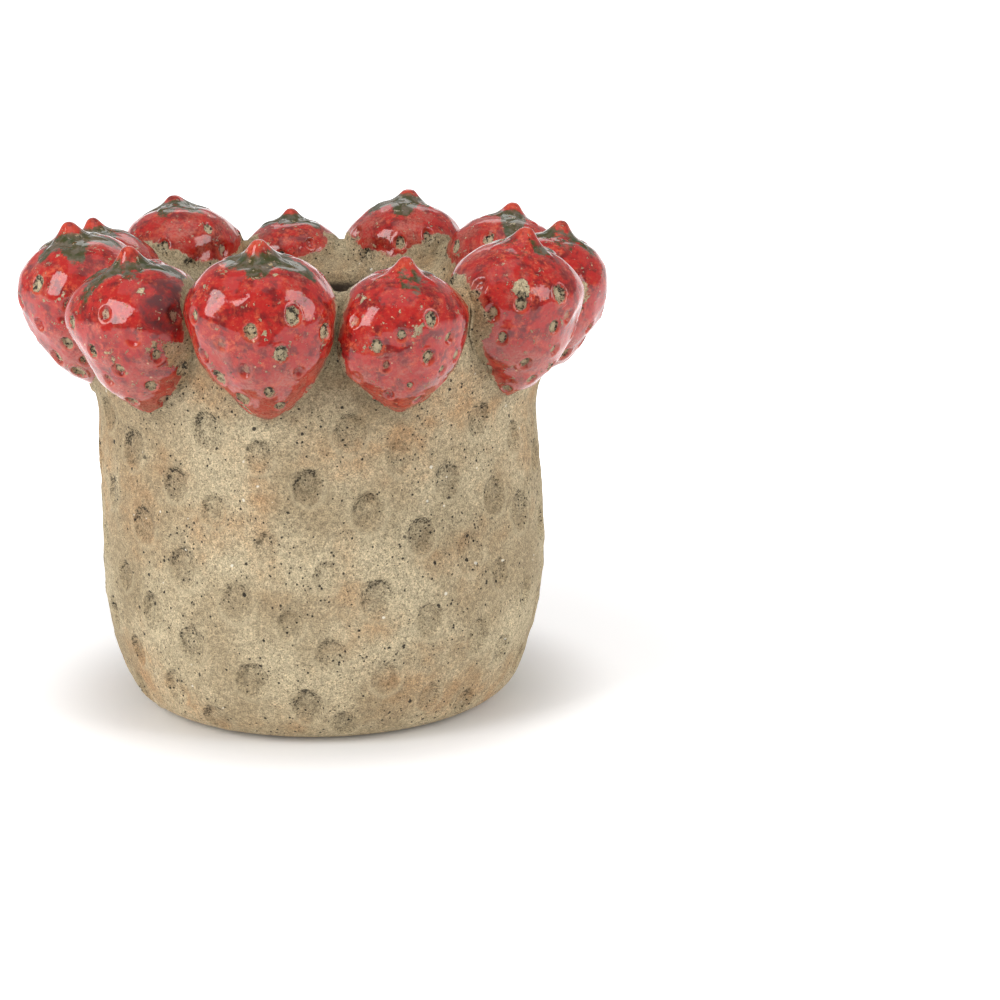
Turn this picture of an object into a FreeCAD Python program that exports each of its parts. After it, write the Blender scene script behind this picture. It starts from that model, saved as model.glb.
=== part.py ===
# Terracotta flower pot with a ring of moulded strawberries seated on its rim.
#
# The pot is a turned vessel with a drain hole and rows of pressed seed dimples. Each berry
# sits astride the rolled rim on a bed of joining slip and carries a leaf cap with its stem.
# Millimetres, +Z up, origin at the centre of the foot, -Y is the side that faces the viewer.

import FreeCAD, Part
import math
import os
import Sketcher

# Driving dimensions. Lengths are in millimetres, slopes in degrees, the rest are counts.
SIZES = {
    "belly_radius": 80.0,
    "belly_height": 52.0,
    "foot_inset": 23.0,
    "foot_corner": 16.0,
    "neck_inset": 2.5,
    "neck_rise": 52.0,
    "flare_radius": 25.0,
    "rim_inset": 1.5,
    "rim_rise": 52.0,
    "lip_radius": 9.0,
    "funnel_slope": 38.5,
    "throat_inset": 18.0,
    "throat_land": 5.0,
    "undercut_height": 14.0,
    "wall": 9.5,
    "floor": 11.0,
    "inner_corner": 14.0,
    "drain_radius": 7.0,
    "dimple_rows": 12,
    "dimples_per_row": 10,
    "dimple_low_height": 8.0,
    "dimple_rise_above_neck": 6.0,
    "dimple_width": 10.0,
    "dimple_length": 13.0,
    "dimple_depth": 1.5,
    "dimple_bowl": 4.5,
    "berry_width": 42.6,
    "berry_gap": 3.5,
    "berry_overhang": 3.6,
    "berry_stand": 8.5,
    "berry_tip_bed": 2.4,
    "berry_waist": 31.0,
    "berry_flat": 2.3,
    "berry_tip": 4.5,
    "berry_shoulder": 13.5,
    "slip": 0.8,
    "stem_height": 7.0,
    "stem_radius": 3.2,
    "stem_flare": 6.0,
    "sepal_count": 6,
    "sepal_reach": 14.0,
    "sepal_thickness": 1.2,
    "sepal_root": 7.0,
    "sepal_tip": 1.5,
}

# Sizes that follow from the driving ones, so that the pot keeps its make when one changes.
FOLLOWING = {
    "foot_radius": "=belly_radius - foot_inset",
    "neck_radius": "=belly_radius - neck_inset",
    "neck_height": "=belly_height + neck_rise",
    "rim_radius": "=belly_radius - rim_inset",
    "rim_height": "=neck_height + rim_rise",
    "throat_radius": "=rim_radius - throat_inset",
    "berry_crown": "=berry_width / 2 - berry_flat",
    "berry_length": "=berry_waist + berry_crown",
    "berry_count": "=floor(180 deg / asin((berry_width + berry_gap) / 2"
    " / (rim_radius + berry_overhang)))",
}

# How each berry was set by hand: turn off its even place in degrees, and its share of full size.
HAND_SET = [
    (0.0, 1.03),
    (-1.5, 0.95),
    (-1.5, 1.05),
    (-3.0, 0.93),
    (-2.0, 1.03),
    (0.0, 0.98),
    (2.0, 1.02),
    (3.0, 1.06),
    (1.5, 0.92),
    (0.5, 1.07),
    (0.0, 0.96),
]
FIRST_BERRY_TURN = -71.5
SEPAL_ROLL = 23.0
SEAM_ROLL = 75.0
DIMPLE_FIRST_TURN = 12.5
DIMPLE_ROW_SHIFT = 0.36
FRONT = -90.0
UP = FreeCAD.Vector(0, 0, 1)
SIDEWAYS = FreeCAD.Vector(0, 1, 0)
PARTS_FOLDER = "parts"

doc = FreeCAD.newDocument("berry_pot")
sheet = doc.addObject("Spreadsheet::Sheet", "sizes")
for line, (alias, value) in enumerate({**SIZES, **FOLLOWING}.items(), start=1):
    sheet.set(f"A{line}", alias)
    sheet.set(f"B{line}", str(value))
    sheet.setAlias(f"B{line}", alias)
doc.recompute()


def size(alias):
    """A driving dimension, as the sheet holds it."""
    return float(sheet.get(alias))


def polar(centre, radius, angle):
    """The point of a circle at an angle in radians."""
    return (centre[0] + radius * math.cos(angle), centre[1] + radius * math.sin(angle))


def bearing(centre, point):
    """The angle in radians at which a point stands from a centre."""
    return math.atan2(point[1] - centre[1], point[0] - centre[0])


class Outline:
    """A closed sketch, drawn edge by edge, whose sizes follow the sheet."""

    def __init__(self, body, name, role="XZ_Plane"):
        self.sketch = body.newObject("Sketcher::SketchObject", name)
        plane = next(f for f in body.Origin.OriginFeatures if f.Role == role)
        self.sketch.AttachmentSupport = [(plane, "")]
        self.sketch.MapMode = "FlatFace"
        self.ends = {}

    def line(self, start, end):
        """Adds a straight edge and returns its number."""
        points = FreeCAD.Vector(*start, 0), FreeCAD.Vector(*end, 0)
        edge = self.sketch.addGeometry(Part.LineSegment(*points), False)
        self.ends[edge] = (1, 2)
        return edge

    def line_back(self, start, end):
        """Adds a straight edge that the sketch holds from its end to its start."""
        edge = self.line(end, start)
        self.ends[edge] = (2, 1)
        return edge

    def arc(self, centre, start, end):
        """Adds an arc that turns left round a centre and returns its number."""
        edge = self.sketch.addGeometry(self._arc(centre, start, end), False)
        self.ends[edge] = (1, 2)
        return edge

    def arc_back(self, centre, start, end):
        """Adds an arc that turns right round a centre and returns its number."""
        edge = self.sketch.addGeometry(self._arc(centre, end, start), False)
        self.ends[edge] = (2, 1)
        return edge

    def _arc(self, centre, first, last):
        """The arc geometry that turns left from one point to another."""
        circle = Part.Circle(FreeCAD.Vector(*centre, 0), UP, math.dist(centre, first))
        return Part.ArcOfCircle(circle, bearing(centre, first), bearing(centre, last))

    def start(self, edge):
        """The edge's first point, as the sketch numbers it."""
        return edge, self.ends[edge][0]

    def end(self, edge):
        """The edge's last point, as the sketch numbers it."""
        return edge, self.ends[edge][1]

    def centre(self, edge):
        """The arc's centre, as the sketch numbers it."""
        return edge, 3

    def constrain(self, *terms):
        """Adds one constraint and returns its number."""
        return self.sketch.addConstraint(Sketcher.Constraint(*terms))

    def close(self, smooth):
        """Joins each edge to the next, in line with it where the edge is in smooth."""
        edges = list(self.ends)
        for edge, after in zip(edges, edges[1:] + edges[:1]):
            kind = "Tangent" if edge in smooth else "Coincident"
            self.constrain(kind, *self.end(edge), *self.start(after))

    def drive(self, index, expression):
        """Ties a constraint to the sheet."""
        name = f"size_{index}"
        self.sketch.renameConstraint(index, name)
        self.sketch.setExpression(f"Constraints.{name}", expression)

    def pin(self, point, across=None, up=None):
        """Holds a point at a distance across and up from the origin."""
        at = self.sketch.getPoint(*point)
        if across is not None:
            self.drive(self.constrain("DistanceX", -1, 1, *point, at.x), across)
        if up is not None:
            self.drive(self.constrain("DistanceY", -1, 1, *point, at.y), up)

    def radius(self, edge, expression):
        """Holds an arc's radius."""
        at = self.sketch.Geometry[edge].Radius
        self.drive(self.constrain("Radius", edge, at), expression)

    def slope(self, edge, angle, expression):
        """Holds a straight edge's angle in degrees from the level."""
        self.drive(self.constrain("Angle", edge, math.radians(angle)), expression)

    def fall(self, edge, height, expression):
        """Holds how far an edge comes down from its start to its end."""
        terms = *self.end(edge), *self.start(edge), height
        self.drive(self.constrain("DistanceY", *terms), expression)

    def on_axis(self, point):
        """Keeps a point on the upright axis."""
        self.constrain("PointOnObject", *point, -2)

    def on_ground(self, point):
        """Keeps a point at the height of the origin."""
        self.constrain("PointOnObject", *point, -1)

    def level(self, point, other):
        """Keeps two points at one height."""
        self.constrain("Horizontal", *point, *other)


def new_body(name):
    """An empty body with a name of its own."""
    body = doc.addObject("PartDesign::Body", name)
    body.Label = name
    return body


def revolve(body, outline):
    """Turns an outline about its upright axis."""
    turned = body.newObject("PartDesign::Revolution", body.Name + "_turned")
    turned.Profile = outline.sketch
    turned.ReferenceAxis = (outline.sketch, ["V_Axis"])
    turned.Angle = 360
    turned.Refine = False
    return turned


def ring_pattern(body, feature, count_words):
    """Repeats a cut round the body's upright axis."""
    pattern = body.newObject("PartDesign::PolarPattern", feature.Name + "_ring")
    pattern.Originals = [feature]
    upright = next(f for f in body.Origin.OriginFeatures if f.Role == "Z_Axis")
    pattern.Axis = (upright, [""])
    pattern.Angle = 360
    pattern.setExpression("Occurrences", count_words)
    pattern.Refine = False
    body.Tip = pattern
    return pattern


# The wall's arcs, worked out once from the sheet.
corner_run = size("belly_radius") - size("foot_radius")
corner_rise = size("belly_height") - size("foot_corner")
LOWER_RADIUS = (corner_run**2 + corner_rise**2 - size("foot_corner") ** 2) / (
    2 * (corner_run - size("foot_corner"))
)
LOWER_CENTRE = (size("belly_radius") - LOWER_RADIUS, size("belly_height"))
CORNER_CENTRE = (size("foot_radius"), size("foot_corner"))
CORNER_END = polar(LOWER_CENTRE, LOWER_RADIUS, bearing(LOWER_CENTRE, CORNER_CENTRE))
neck_draw = size("belly_radius") - size("neck_radius")
neck_rise = size("neck_height") - size("belly_height")
UPPER_RADIUS = (neck_draw**2 + neck_rise**2) / (2 * neck_draw)
UPPER_CENTRE = (size("belly_radius") - UPPER_RADIUS, size("belly_height"))
NECK_ANGLE = math.asin(neck_rise / UPPER_RADIUS)
FLARE_CENTRE = polar(UPPER_CENTRE, UPPER_RADIUS + size("flare_radius"), NECK_ANGLE)
LIP_CENTRE = (size("rim_radius"), size("rim_height") - size("lip_radius"))
lip_share = (size("flare_radius") + size("lip_radius")) / math.dist(FLARE_CENTRE, LIP_CENTRE)
CONE_LEAN = -bearing(LIP_CENTRE, FLARE_CENTRE) - math.acos(lip_share)
FLARE_END = polar(FLARE_CENTRE, size("flare_radius"), math.pi - CONE_LEAN)
FUNNEL_ANGLE = math.radians(90 + size("funnel_slope"))
UPPER_RADIUS_WORDS = (
    "(((sizes.belly_radius - sizes.neck_radius)^2 + (sizes.neck_height - sizes.belly_height)^2)"
    " / (2 * (sizes.belly_radius - sizes.neck_radius)))"
)


def wall_at(height):
    """Radius of the outer wall at a height, and the angle of its outward normal in radians."""
    if height < CORNER_END[1]:
        tilt = math.asin((height - CORNER_CENTRE[1]) / size("foot_corner"))
        return polar(CORNER_CENTRE, size("foot_corner"), tilt)[0], tilt
    if height < size("belly_height"):
        tilt = math.asin((height - LOWER_CENTRE[1]) / LOWER_RADIUS)
        return polar(LOWER_CENTRE, LOWER_RADIUS, tilt)[0], tilt
    if height < size("neck_height"):
        tilt = math.asin((height - UPPER_CENTRE[1]) / UPPER_RADIUS)
        return polar(UPPER_CENTRE, UPPER_RADIUS, tilt)[0], tilt
    if height < FLARE_END[1]:
        tilt = math.asin((FLARE_CENTRE[1] - height) / size("flare_radius"))
        return FLARE_CENTRE[0] - size("flare_radius") * math.cos(tilt), tilt
    return FLARE_END[0] + (height - FLARE_END[1]) * math.tan(CONE_LEAN), -CONE_LEAN


class RimEdges:
    """The wall from the belly up, over the lip and down to the throat, thicker by some growth."""

    def __init__(self, outline, grow):
        lip = size("lip_radius") + grow
        belly = (size("belly_radius") + grow, size("belly_height"))
        neck = polar(UPPER_CENTRE, UPPER_RADIUS + grow, NECK_ANGLE)
        flare_end = polar(FLARE_CENTRE, size("flare_radius") - grow, math.pi - CONE_LEAN)
        lip_start = polar(LIP_CENTRE, lip, -CONE_LEAN)
        lip_end = polar(LIP_CENTRE, lip, FUNNEL_ANGLE)
        fall = (lip_end[0] - size("throat_radius")) * math.tan(math.radians(size("funnel_slope")))
        self.throat_point = (size("throat_radius"), lip_end[1] - fall)
        self.outline = outline
        self.upper = outline.arc(UPPER_CENTRE, belly, neck)
        self.flare = outline.arc_back(FLARE_CENTRE, neck, flare_end)
        self.cone = outline.line(flare_end, lip_start)
        self.lip = outline.arc(LIP_CENTRE, lip_start, lip_end)
        self.funnel = outline.line_back(lip_end, self.throat_point)
        self.smooth = [self.upper, self.flare, self.cone, self.lip]

    def bind(self, grow_words):
        """Ties the edges to the sheet, with the growth in its words."""
        o = self.outline
        o.level(o.centre(self.upper), o.start(self.upper))
        o.radius(self.upper, f"{UPPER_RADIUS_WORDS} + {grow_words}")
        rise = f"(sizes.neck_height - sizes.belly_height) / {UPPER_RADIUS_WORDS}"
        o.pin(o.end(self.upper), up=f"sizes.neck_height + {grow_words} * {rise}")
        o.radius(self.flare, f"sizes.flare_radius - {grow_words}")
        o.pin(o.centre(self.lip), "sizes.rim_radius", "sizes.rim_height - sizes.lip_radius")
        o.radius(self.lip, f"sizes.lip_radius + {grow_words}")
        o.slope(self.funnel, size("funnel_slope"), "sizes.funnel_slope")
        o.pin(o.end(self.funnel), "sizes.throat_radius")


def make_pot():
    """The turned pot with its drain hole and its rows of pressed dimples."""
    body = new_body("pot_body")
    o = Outline(body, "pot_outline")
    foot_edge = (size("foot_radius"), 0)
    belly = (size("belly_radius"), size("belly_height"))
    foot = o.line((size("drain_radius"), 0), foot_edge)
    corner = o.arc(CORNER_CENTRE, foot_edge, CORNER_END)
    lower = o.arc(LOWER_CENTRE, CORNER_END, belly)
    rim = RimEdges(o, 0)

    land_end = (size("throat_radius"), rim.throat_point[1] - size("throat_land"))
    undercut_level = land_end[1] - size("undercut_height")
    inner_upper = UPPER_RADIUS - size("wall")
    undercut_tilt = math.asin((undercut_level - UPPER_CENTRE[1]) / inner_upper)
    undercut_end = polar(UPPER_CENTRE, inner_upper, undercut_tilt)
    inner_belly = (size("belly_radius") - size("wall"), size("belly_height"))
    inner_lower = LOWER_RADIUS - size("wall")
    bend_level = size("floor") + size("inner_corner")
    bend_reach = inner_lower - size("inner_corner")
    bend_run = math.sqrt(bend_reach**2 - (LOWER_CENTRE[1] - bend_level) ** 2)
    bend_centre = (LOWER_CENTRE[0] + bend_run, bend_level)
    bend_start = polar(LOWER_CENTRE, inner_lower, bearing(LOWER_CENTRE, bend_centre))
    floor_edge = (bend_centre[0], size("floor"))
    drain_top = (size("drain_radius"), size("floor"))

    land = o.line(rim.throat_point, land_end)
    undercut = o.line(land_end, undercut_end)
    wall_up = o.arc_back(UPPER_CENTRE, undercut_end, inner_belly)
    wall_low = o.arc_back(LOWER_CENTRE, inner_belly, bend_start)
    bend = o.arc_back(bend_centre, bend_start, floor_edge)
    floor = o.line(floor_edge, drain_top)
    o.line(drain_top, (size("drain_radius"), 0))
    o.close(smooth=[foot, corner, *rim.smooth, wall_low, bend])

    rim.bind("0")
    o.on_ground(o.start(foot))
    o.on_ground(o.end(foot))
    o.pin(o.start(foot), "sizes.drain_radius")
    o.pin(o.end(foot), "sizes.foot_radius")
    o.radius(corner, "sizes.foot_corner")
    o.level(o.centre(lower), o.end(lower))
    o.pin(o.end(lower), "sizes.belly_radius", "sizes.belly_height")
    o.constrain("Vertical", land)
    o.fall(land, size("throat_land"), "sizes.throat_land")
    o.fall(undercut, size("undercut_height"), "sizes.undercut_height")
    o.constrain("Coincident", *o.centre(wall_up), *o.centre(rim.upper))
    o.constrain("Coincident", *o.centre(wall_low), *o.centre(lower))
    o.pin(o.end(wall_up), "sizes.belly_radius - sizes.wall", "sizes.belly_height")
    o.radius(bend, "sizes.inner_corner")
    o.constrain("Horizontal", floor)
    o.pin(o.end(floor), "sizes.drain_radius", "sizes.floor")
    revolve(body, o)
    doc.recompute()
    press_dimples(body)
    return body


def press_dimples(body):
    """Presses rows of shallow ovals into the wall, each row turned on from the one above."""
    rows = int(size("dimple_rows"))
    top = size("neck_height") + size("dimple_rise_above_neck")
    step = (top - size("dimple_low_height")) / (rows - 1)
    pitch = 360 / size("dimples_per_row")
    share = "sqrt(1 - ((sizes.dimple_bowl - sizes.dimple_depth) / sizes.dimple_bowl)^2)"
    for row in range(rows):
        radius, tilt = wall_at(top - row * step)
        centre = polar((radius, top - row * step), size("dimple_bowl") - size("dimple_depth"), tilt)
        turn = FRONT + DIMPLE_FIRST_TURN + row * DIMPLE_ROW_SHIFT * pitch
        spin = FreeCAD.Rotation(UP, turn)
        dimple = body.newObject("PartDesign::SubtractiveEllipsoid", f"dimple_row_{row + 1:02d}")
        dimple.setExpression("Radius1", f"sizes.dimple_length / 2 / {share}")
        dimple.setExpression("Radius2", "sizes.dimple_bowl")
        dimple.setExpression("Radius3", f"sizes.dimple_width / 2 / {share}")
        dimple.Placement = FreeCAD.Placement(
            spin.multVec(FreeCAD.Vector(centre[0], 0, centre[1])),
            spin.multiply(FreeCAD.Rotation(SIDEWAYS, -math.degrees(tilt))),
        )
        dimple.Refine = False
        ring_pattern(body, dimple, "sizes.dimples_per_row")


def make_plug(name, grow, grow_words):
    """The wall and rim as a filled solid, grown outwards, to seat the berries on."""
    body = new_body(name)
    o = Outline(body, name + "_outline")
    belly_level = size("belly_height")
    base = o.line((0, belly_level), (size("belly_radius") + grow, belly_level))
    rim = RimEdges(o, grow)
    top_level = rim.throat_point[1]
    top = o.line(rim.throat_point, (0, top_level))
    o.line((0, top_level), (0, belly_level))
    o.close(smooth=rim.smooth)
    rim.bind(grow_words)
    o.on_axis(o.start(base))
    o.pin(o.end(base), f"sizes.belly_radius + {grow_words}", "sizes.belly_height")
    o.constrain("Horizontal", base)
    o.on_axis(o.end(top))
    o.constrain("Horizontal", top)
    revolve(body, o)
    between_berries = FRONT + FIRST_BERRY_TURN + 180 / size("berry_count")
    body.Placement = FreeCAD.Placement(
        FreeCAD.Vector(), FreeCAD.Rotation(UP, between_berries)
    )
    return body


HALF_WIDTH_WORDS = "(sizes.berry_width / 2)"
DOME_WORDS = (
    "((sizes.berry_shoulder^2 - ({half} - sizes.berry_shoulder)^2"
    " - (sizes.berry_waist - sizes.berry_length)^2)"
    " / (2 * (sizes.berry_waist - sizes.berry_length + sizes.berry_shoulder)))"
).format(half=HALF_WIDTH_WORDS)


class Berry:
    """One berry: where it stands on the rim, how large it is, and the solids it is made of."""

    def __init__(self, index):
        nudge, self.share = HAND_SET[index % len(HAND_SET)]
        self.number = f"{index + 1:02d}"
        self.turn = FRONT + FIRST_BERRY_TURN + index * 360 / size("berry_count") + nudge
        self.roll = index * SEPAL_ROLL
        self.half = size("berry_width") / 2 * self.share
        self.length = size("berry_length") * self.share
        self.waist = size("berry_waist") * self.share
        self.tip = size("berry_tip") * self.share
        self.shoulder = size("berry_shoulder") * self.share
        inset = self.half - self.shoulder
        drop = self.waist - self.length
        self.dome = (self.shoulder**2 - inset**2 - drop**2) / (2 * (drop + self.shoulder))
        self.dome_centre = (0, self.length - self.dome)

    def words(self, words):
        """A size of the full berry in the sheet's words, at this berry's share."""
        return f"{words} * {self.share}"

    def place(self, roll=0):
        """The berry's stand on the rim: its tip bedded in the wall, its axis leaning over the lip."""
        level = size("rim_height") + size("berry_stand") - size("berry_length")
        reach = wall_at(level)[0] - size("berry_tip_bed")
        overhang = size("rim_radius") + size("berry_overhang") - reach
        lean = math.degrees(math.atan2(overhang, LIP_CENTRE[1] - level))
        spin = FreeCAD.Rotation(UP, self.turn)
        tilt = spin.multiply(FreeCAD.Rotation(SIDEWAYS, lean))
        foot = spin.multVec(FreeCAD.Vector(reach, 0, level))
        return FreeCAD.Placement(foot, tilt.multiply(FreeCAD.Rotation(UP, roll)))

    def make_blank(self):
        """The whole berry before it is cut to sit on the rim."""
        body = new_body("berry_blank_" + self.number)
        o = Outline(body, "berry_outline_" + self.number)
        flank = (self.half**2 + (self.waist - self.tip) ** 2 - self.tip**2) / (
            2 * (self.half - self.tip)
        )
        tip_centre = (0, self.tip)
        flank_centre = (self.half - flank, self.waist)
        tip_end = polar(tip_centre, self.tip, bearing(flank_centre, tip_centre))
        shoulder_centre = (self.half - self.shoulder, self.waist)
        shoulder_end = polar(
            self.dome_centre, self.dome, bearing(self.dome_centre, shoulder_centre)
        )
        widest = (self.half, self.waist)
        tip = o.arc(tip_centre, (0, 0), tip_end)
        side = o.arc(flank_centre, tip_end, widest)
        shoulder = o.arc(shoulder_centre, widest, shoulder_end)
        dome = o.arc(self.dome_centre, shoulder_end, (0, self.length))
        o.line((0, self.length), (0, 0))
        o.close(smooth=[tip, shoulder])
        o.constrain("Coincident", *o.start(tip), -1, 1)
        o.on_axis(o.centre(tip))
        o.radius(tip, self.words("sizes.berry_tip"))
        o.pin(o.end(side), self.words(HALF_WIDTH_WORDS), self.words("sizes.berry_waist"))
        o.level(o.centre(side), o.end(side))
        o.level(o.centre(shoulder), o.start(shoulder))
        o.radius(shoulder, self.words("sizes.berry_shoulder"))
        o.on_axis(o.centre(dome))
        o.on_axis(o.end(dome))
        o.pin(o.end(dome), up=self.words("sizes.berry_length"))
        revolve(body, o)
        body.Placement = self.place(SEAM_ROLL)
        return body

    def make_calyx(self):
        """The leaf cap: a star of sepals that lies on the berry and draws up into its stem."""
        body = new_body("calyx_" + self.number)
        o = Outline(body, "calyx_outline_" + self.number)
        reach = size("sepal_reach") * self.share
        over = self.dome + size("sepal_thickness")
        tilt = math.acos(reach / self.dome)
        stem = size("stem_radius")
        flare = size("stem_flare")
        flare_across = stem + flare
        flare_rise = math.sqrt((over + flare) ** 2 - flare_across**2)
        flare_centre = (flare_across, self.dome_centre[1] + flare_rise)
        leaf_end = polar(self.dome_centre, over, bearing(self.dome_centre, flare_centre))
        crown_centre = (0, self.length + size("stem_height") * self.share - stem)
        leaf_tip = polar(self.dome_centre, self.dome, tilt)
        leaf_tip_top = polar(self.dome_centre, over, tilt)
        under = o.arc_back(self.dome_centre, (0, self.length), leaf_tip)
        edge = o.line(leaf_tip, leaf_tip_top)
        leaf = o.arc(self.dome_centre, leaf_tip_top, leaf_end)
        draw = o.arc_back(flare_centre, leaf_end, (stem, flare_centre[1]))
        shank = o.line((stem, flare_centre[1]), (stem, crown_centre[1]))
        crown = o.arc(crown_centre, (stem, crown_centre[1]), (0, crown_centre[1] + stem))
        o.line((0, crown_centre[1] + stem), (0, self.length))
        o.close(smooth=[leaf, draw, shank])
        o.on_axis(o.start(under))
        o.pin(o.start(under), up=self.words("sizes.berry_length"))
        o.on_axis(o.centre(under))
        o.radius(under, self.words(DOME_WORDS))
        o.pin(o.end(under), self.words("sizes.sepal_reach"))
        o.constrain("Coincident", *o.centre(leaf), *o.centre(under))
        o.constrain("PointOnObject", *o.centre(under), edge)
        o.radius(leaf, f"{self.words(DOME_WORDS)} + sizes.sepal_thickness")
        o.radius(draw, "sizes.stem_flare")
        o.constrain("Vertical", shank)
        o.on_axis(o.centre(crown))
        o.on_axis(o.end(crown))
        o.radius(crown, "sizes.stem_radius")
        top_words = f"(sizes.berry_length + sizes.stem_height) * {self.share}"
        o.pin(o.end(crown), up=top_words)
        revolve(body, o)
        doc.recompute()
        self.cut_sepals(body)
        body.Placement = self.place(self.roll)
        return body

    def cut_sepals(self, body):
        """Cuts a notch between two sepals and repeats it round the stem."""
        part_angle = math.pi / size("sepal_count")
        root = size("sepal_root") * self.share
        reach = size("sepal_reach") * self.share
        slope = (reach * math.sin(part_angle) - size("sepal_tip") / 2) / (
            reach * math.cos(part_angle) - root
        )
        far = 2 * reach
        spread = (far - root) * slope
        far_words = self.words("2 * sizes.sepal_reach")
        reach_words = self.words("sizes.sepal_reach")
        root_words = self.words("sizes.sepal_root")
        angle_words = "(180 deg / sizes.sepal_count)"
        slope_words = (
            f"(({reach_words} * sin({angle_words}) - sizes.sepal_tip / 2)"
            f" / ({reach_words} * cos({angle_words}) - {root_words}))"
        )
        o = Outline(body, "notch_outline_" + self.number, "XY_Plane")
        near_side = o.line((root, 0), (far, -spread))
        outer = o.line((far, -spread), (far, spread))
        far_side = o.line((far, spread), (root, 0))
        o.close(smooth=[])
        o.on_ground(o.start(near_side))
        o.pin(o.start(near_side), root_words)
        o.constrain("Vertical", outer)
        o.constrain("Equal", near_side, far_side)
        o.pin(o.end(outer), far_words, f"({far_words} - {root_words}) * {slope_words}")
        notch = body.newObject("PartDesign::Pocket", "notch_" + self.number)
        notch.Profile = o.sketch
        notch.Type = "ThroughAll"
        notch.Reversed = True
        notch.Refine = False
        ring_pattern(body, notch, "sizes.sepal_count")


def boolean(kind, name, base, tool):
    """A boolean of two objects, under a name of its own."""
    result = doc.addObject(kind, name)
    result.Label = name
    result.Base = base
    result.Tool = tool
    return result


pot = make_pot()
rim_core = make_plug("rim_core", 0, "0")
rim_seat = make_plug("rim_seat", size("slip"), "sizes.slip")

pieces = [pot]
slip_beds = []
for index in range(int(size("berry_count"))):
    berry = Berry(index)
    blank = berry.make_blank()
    pieces.append(boolean("Part::Cut", "berry_" + berry.number, blank, rim_seat))
    on_rim = boolean("Part::Cut", "berry_on_rim_" + berry.number, blank, rim_core)
    slip_beds.append(boolean("Part::Common", "slip_bed_" + berry.number, on_rim, rim_seat))
    pieces.append(berry.make_calyx())

luting_slip = doc.addObject("Part::Compound", "luting_slip")
luting_slip.Label = "luting_slip"
luting_slip.Links = slip_beds
pieces.append(luting_slip)
doc.recompute()

for item in doc.Objects:
    if "Invalid" in item.State or "Error" in item.State:
        raise RuntimeError(f"{item.Name} failed: {item.State}")
for piece in pieces:
    if piece.Shape.isNull() or not piece.Shape.isValid():
        raise RuntimeError(f"{piece.Label} has no sound shape")

os.makedirs(PARTS_FOLDER, exist_ok=True)
for piece in pieces:
    piece.Shape.exportStep(f"{PARTS_FOLDER}/{piece.Label}.step")
    print(f"{piece.Label}: {len(piece.Shape.Solids)} solids, {piece.Shape.Volume / 1000:.2f} ml")
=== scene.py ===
"""Dressed scene of a terracotta flower pot with moulded strawberries round its rim.

Shapes are worked out in millimetres in the part's own frame: the origin is the centre of the
foot, +Z is up and -Y faces the viewer. Meshes are written in metres.
"""

from __future__ import annotations

import logging
import math
from dataclasses import dataclass, field, fields, replace
from enum import Enum, IntEnum
from functools import reduce

import bpy
import numpy as np
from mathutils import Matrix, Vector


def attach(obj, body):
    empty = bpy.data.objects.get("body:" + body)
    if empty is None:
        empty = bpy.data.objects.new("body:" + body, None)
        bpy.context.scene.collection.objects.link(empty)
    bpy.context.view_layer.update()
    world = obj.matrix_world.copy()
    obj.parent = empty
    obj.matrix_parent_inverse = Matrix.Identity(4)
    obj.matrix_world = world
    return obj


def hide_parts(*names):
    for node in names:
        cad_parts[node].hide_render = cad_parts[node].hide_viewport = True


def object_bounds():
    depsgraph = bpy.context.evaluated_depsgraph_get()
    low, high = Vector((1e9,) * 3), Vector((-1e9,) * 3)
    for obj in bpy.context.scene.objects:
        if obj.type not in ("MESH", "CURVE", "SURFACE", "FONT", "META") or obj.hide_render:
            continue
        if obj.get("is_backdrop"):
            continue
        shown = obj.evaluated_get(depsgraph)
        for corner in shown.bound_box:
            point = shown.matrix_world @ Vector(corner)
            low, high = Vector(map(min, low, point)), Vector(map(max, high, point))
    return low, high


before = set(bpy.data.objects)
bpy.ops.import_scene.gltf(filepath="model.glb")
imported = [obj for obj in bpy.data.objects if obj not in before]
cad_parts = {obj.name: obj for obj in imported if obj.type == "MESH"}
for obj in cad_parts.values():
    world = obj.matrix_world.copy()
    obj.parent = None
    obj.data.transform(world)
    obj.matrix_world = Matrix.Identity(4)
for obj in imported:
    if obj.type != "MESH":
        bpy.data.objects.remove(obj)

MM = 0.001
FULL_TURN = 2 * math.pi
FRONT = -90.0
OUTLINE_STEP = 0.4
BODY = "root"
WHITE = (1.0, 1.0, 1.0, 1.0)

Values = np.ndarray
Point = tuple[float, float]
Colour = tuple[float, ...]
Spots = tuple[tuple[int, float, float, float, float], ...]
Inputs = dict[str | int, object]
Socket = bpy.types.NodeSocket
Mesh = bpy.types.Mesh
Material = bpy.types.Material
Piece = bpy.types.Object

log = logging.getLogger("flower_pot")


class Slot(Enum):
    """The record's finishes."""

    CLAY = "bisque_clay"
    BERRY = "berry_glaze"
    LEAF = "leaf_glaze"


class Seed(IntEnum):
    """Where each kind of random draw starts."""

    DIMPLES = 7
    PITS = 20
    SWAY = 41
    RIPPLE = 42
    WEB = 51
    LUMPS = 100
    FINE_LUMPS = 200
    LEAVES = 300
    BURNS = 400


class Zone(Enum):
    """Stretches of the pot's outline, each with its own distance between rows in millimetres."""

    WALL = 1.25
    FUNNEL = 1.4
    LAND = 2.0
    DRAIN = 2.5
    UNSEEN = 5.0
    FLOOR = 6.0


def paint(*values: int) -> Colour:
    """A colour as a photograph shows it, red, green and blue up to 255, made linear."""
    shares = [value / 255 for value in values]
    return (*(s / 12.92 if s <= 0.04045 else ((s + 0.055) / 1.055) ** 2.4 for s in shares), 1.0)


def ease(low: float, high: float, value: Values) -> Values:
    """A smooth step from 0 at low to 1 at high."""
    share = np.clip((value - low) / (high - low), 0.0, 1.0)
    return share * share * (3.0 - 2.0 * share)


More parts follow.
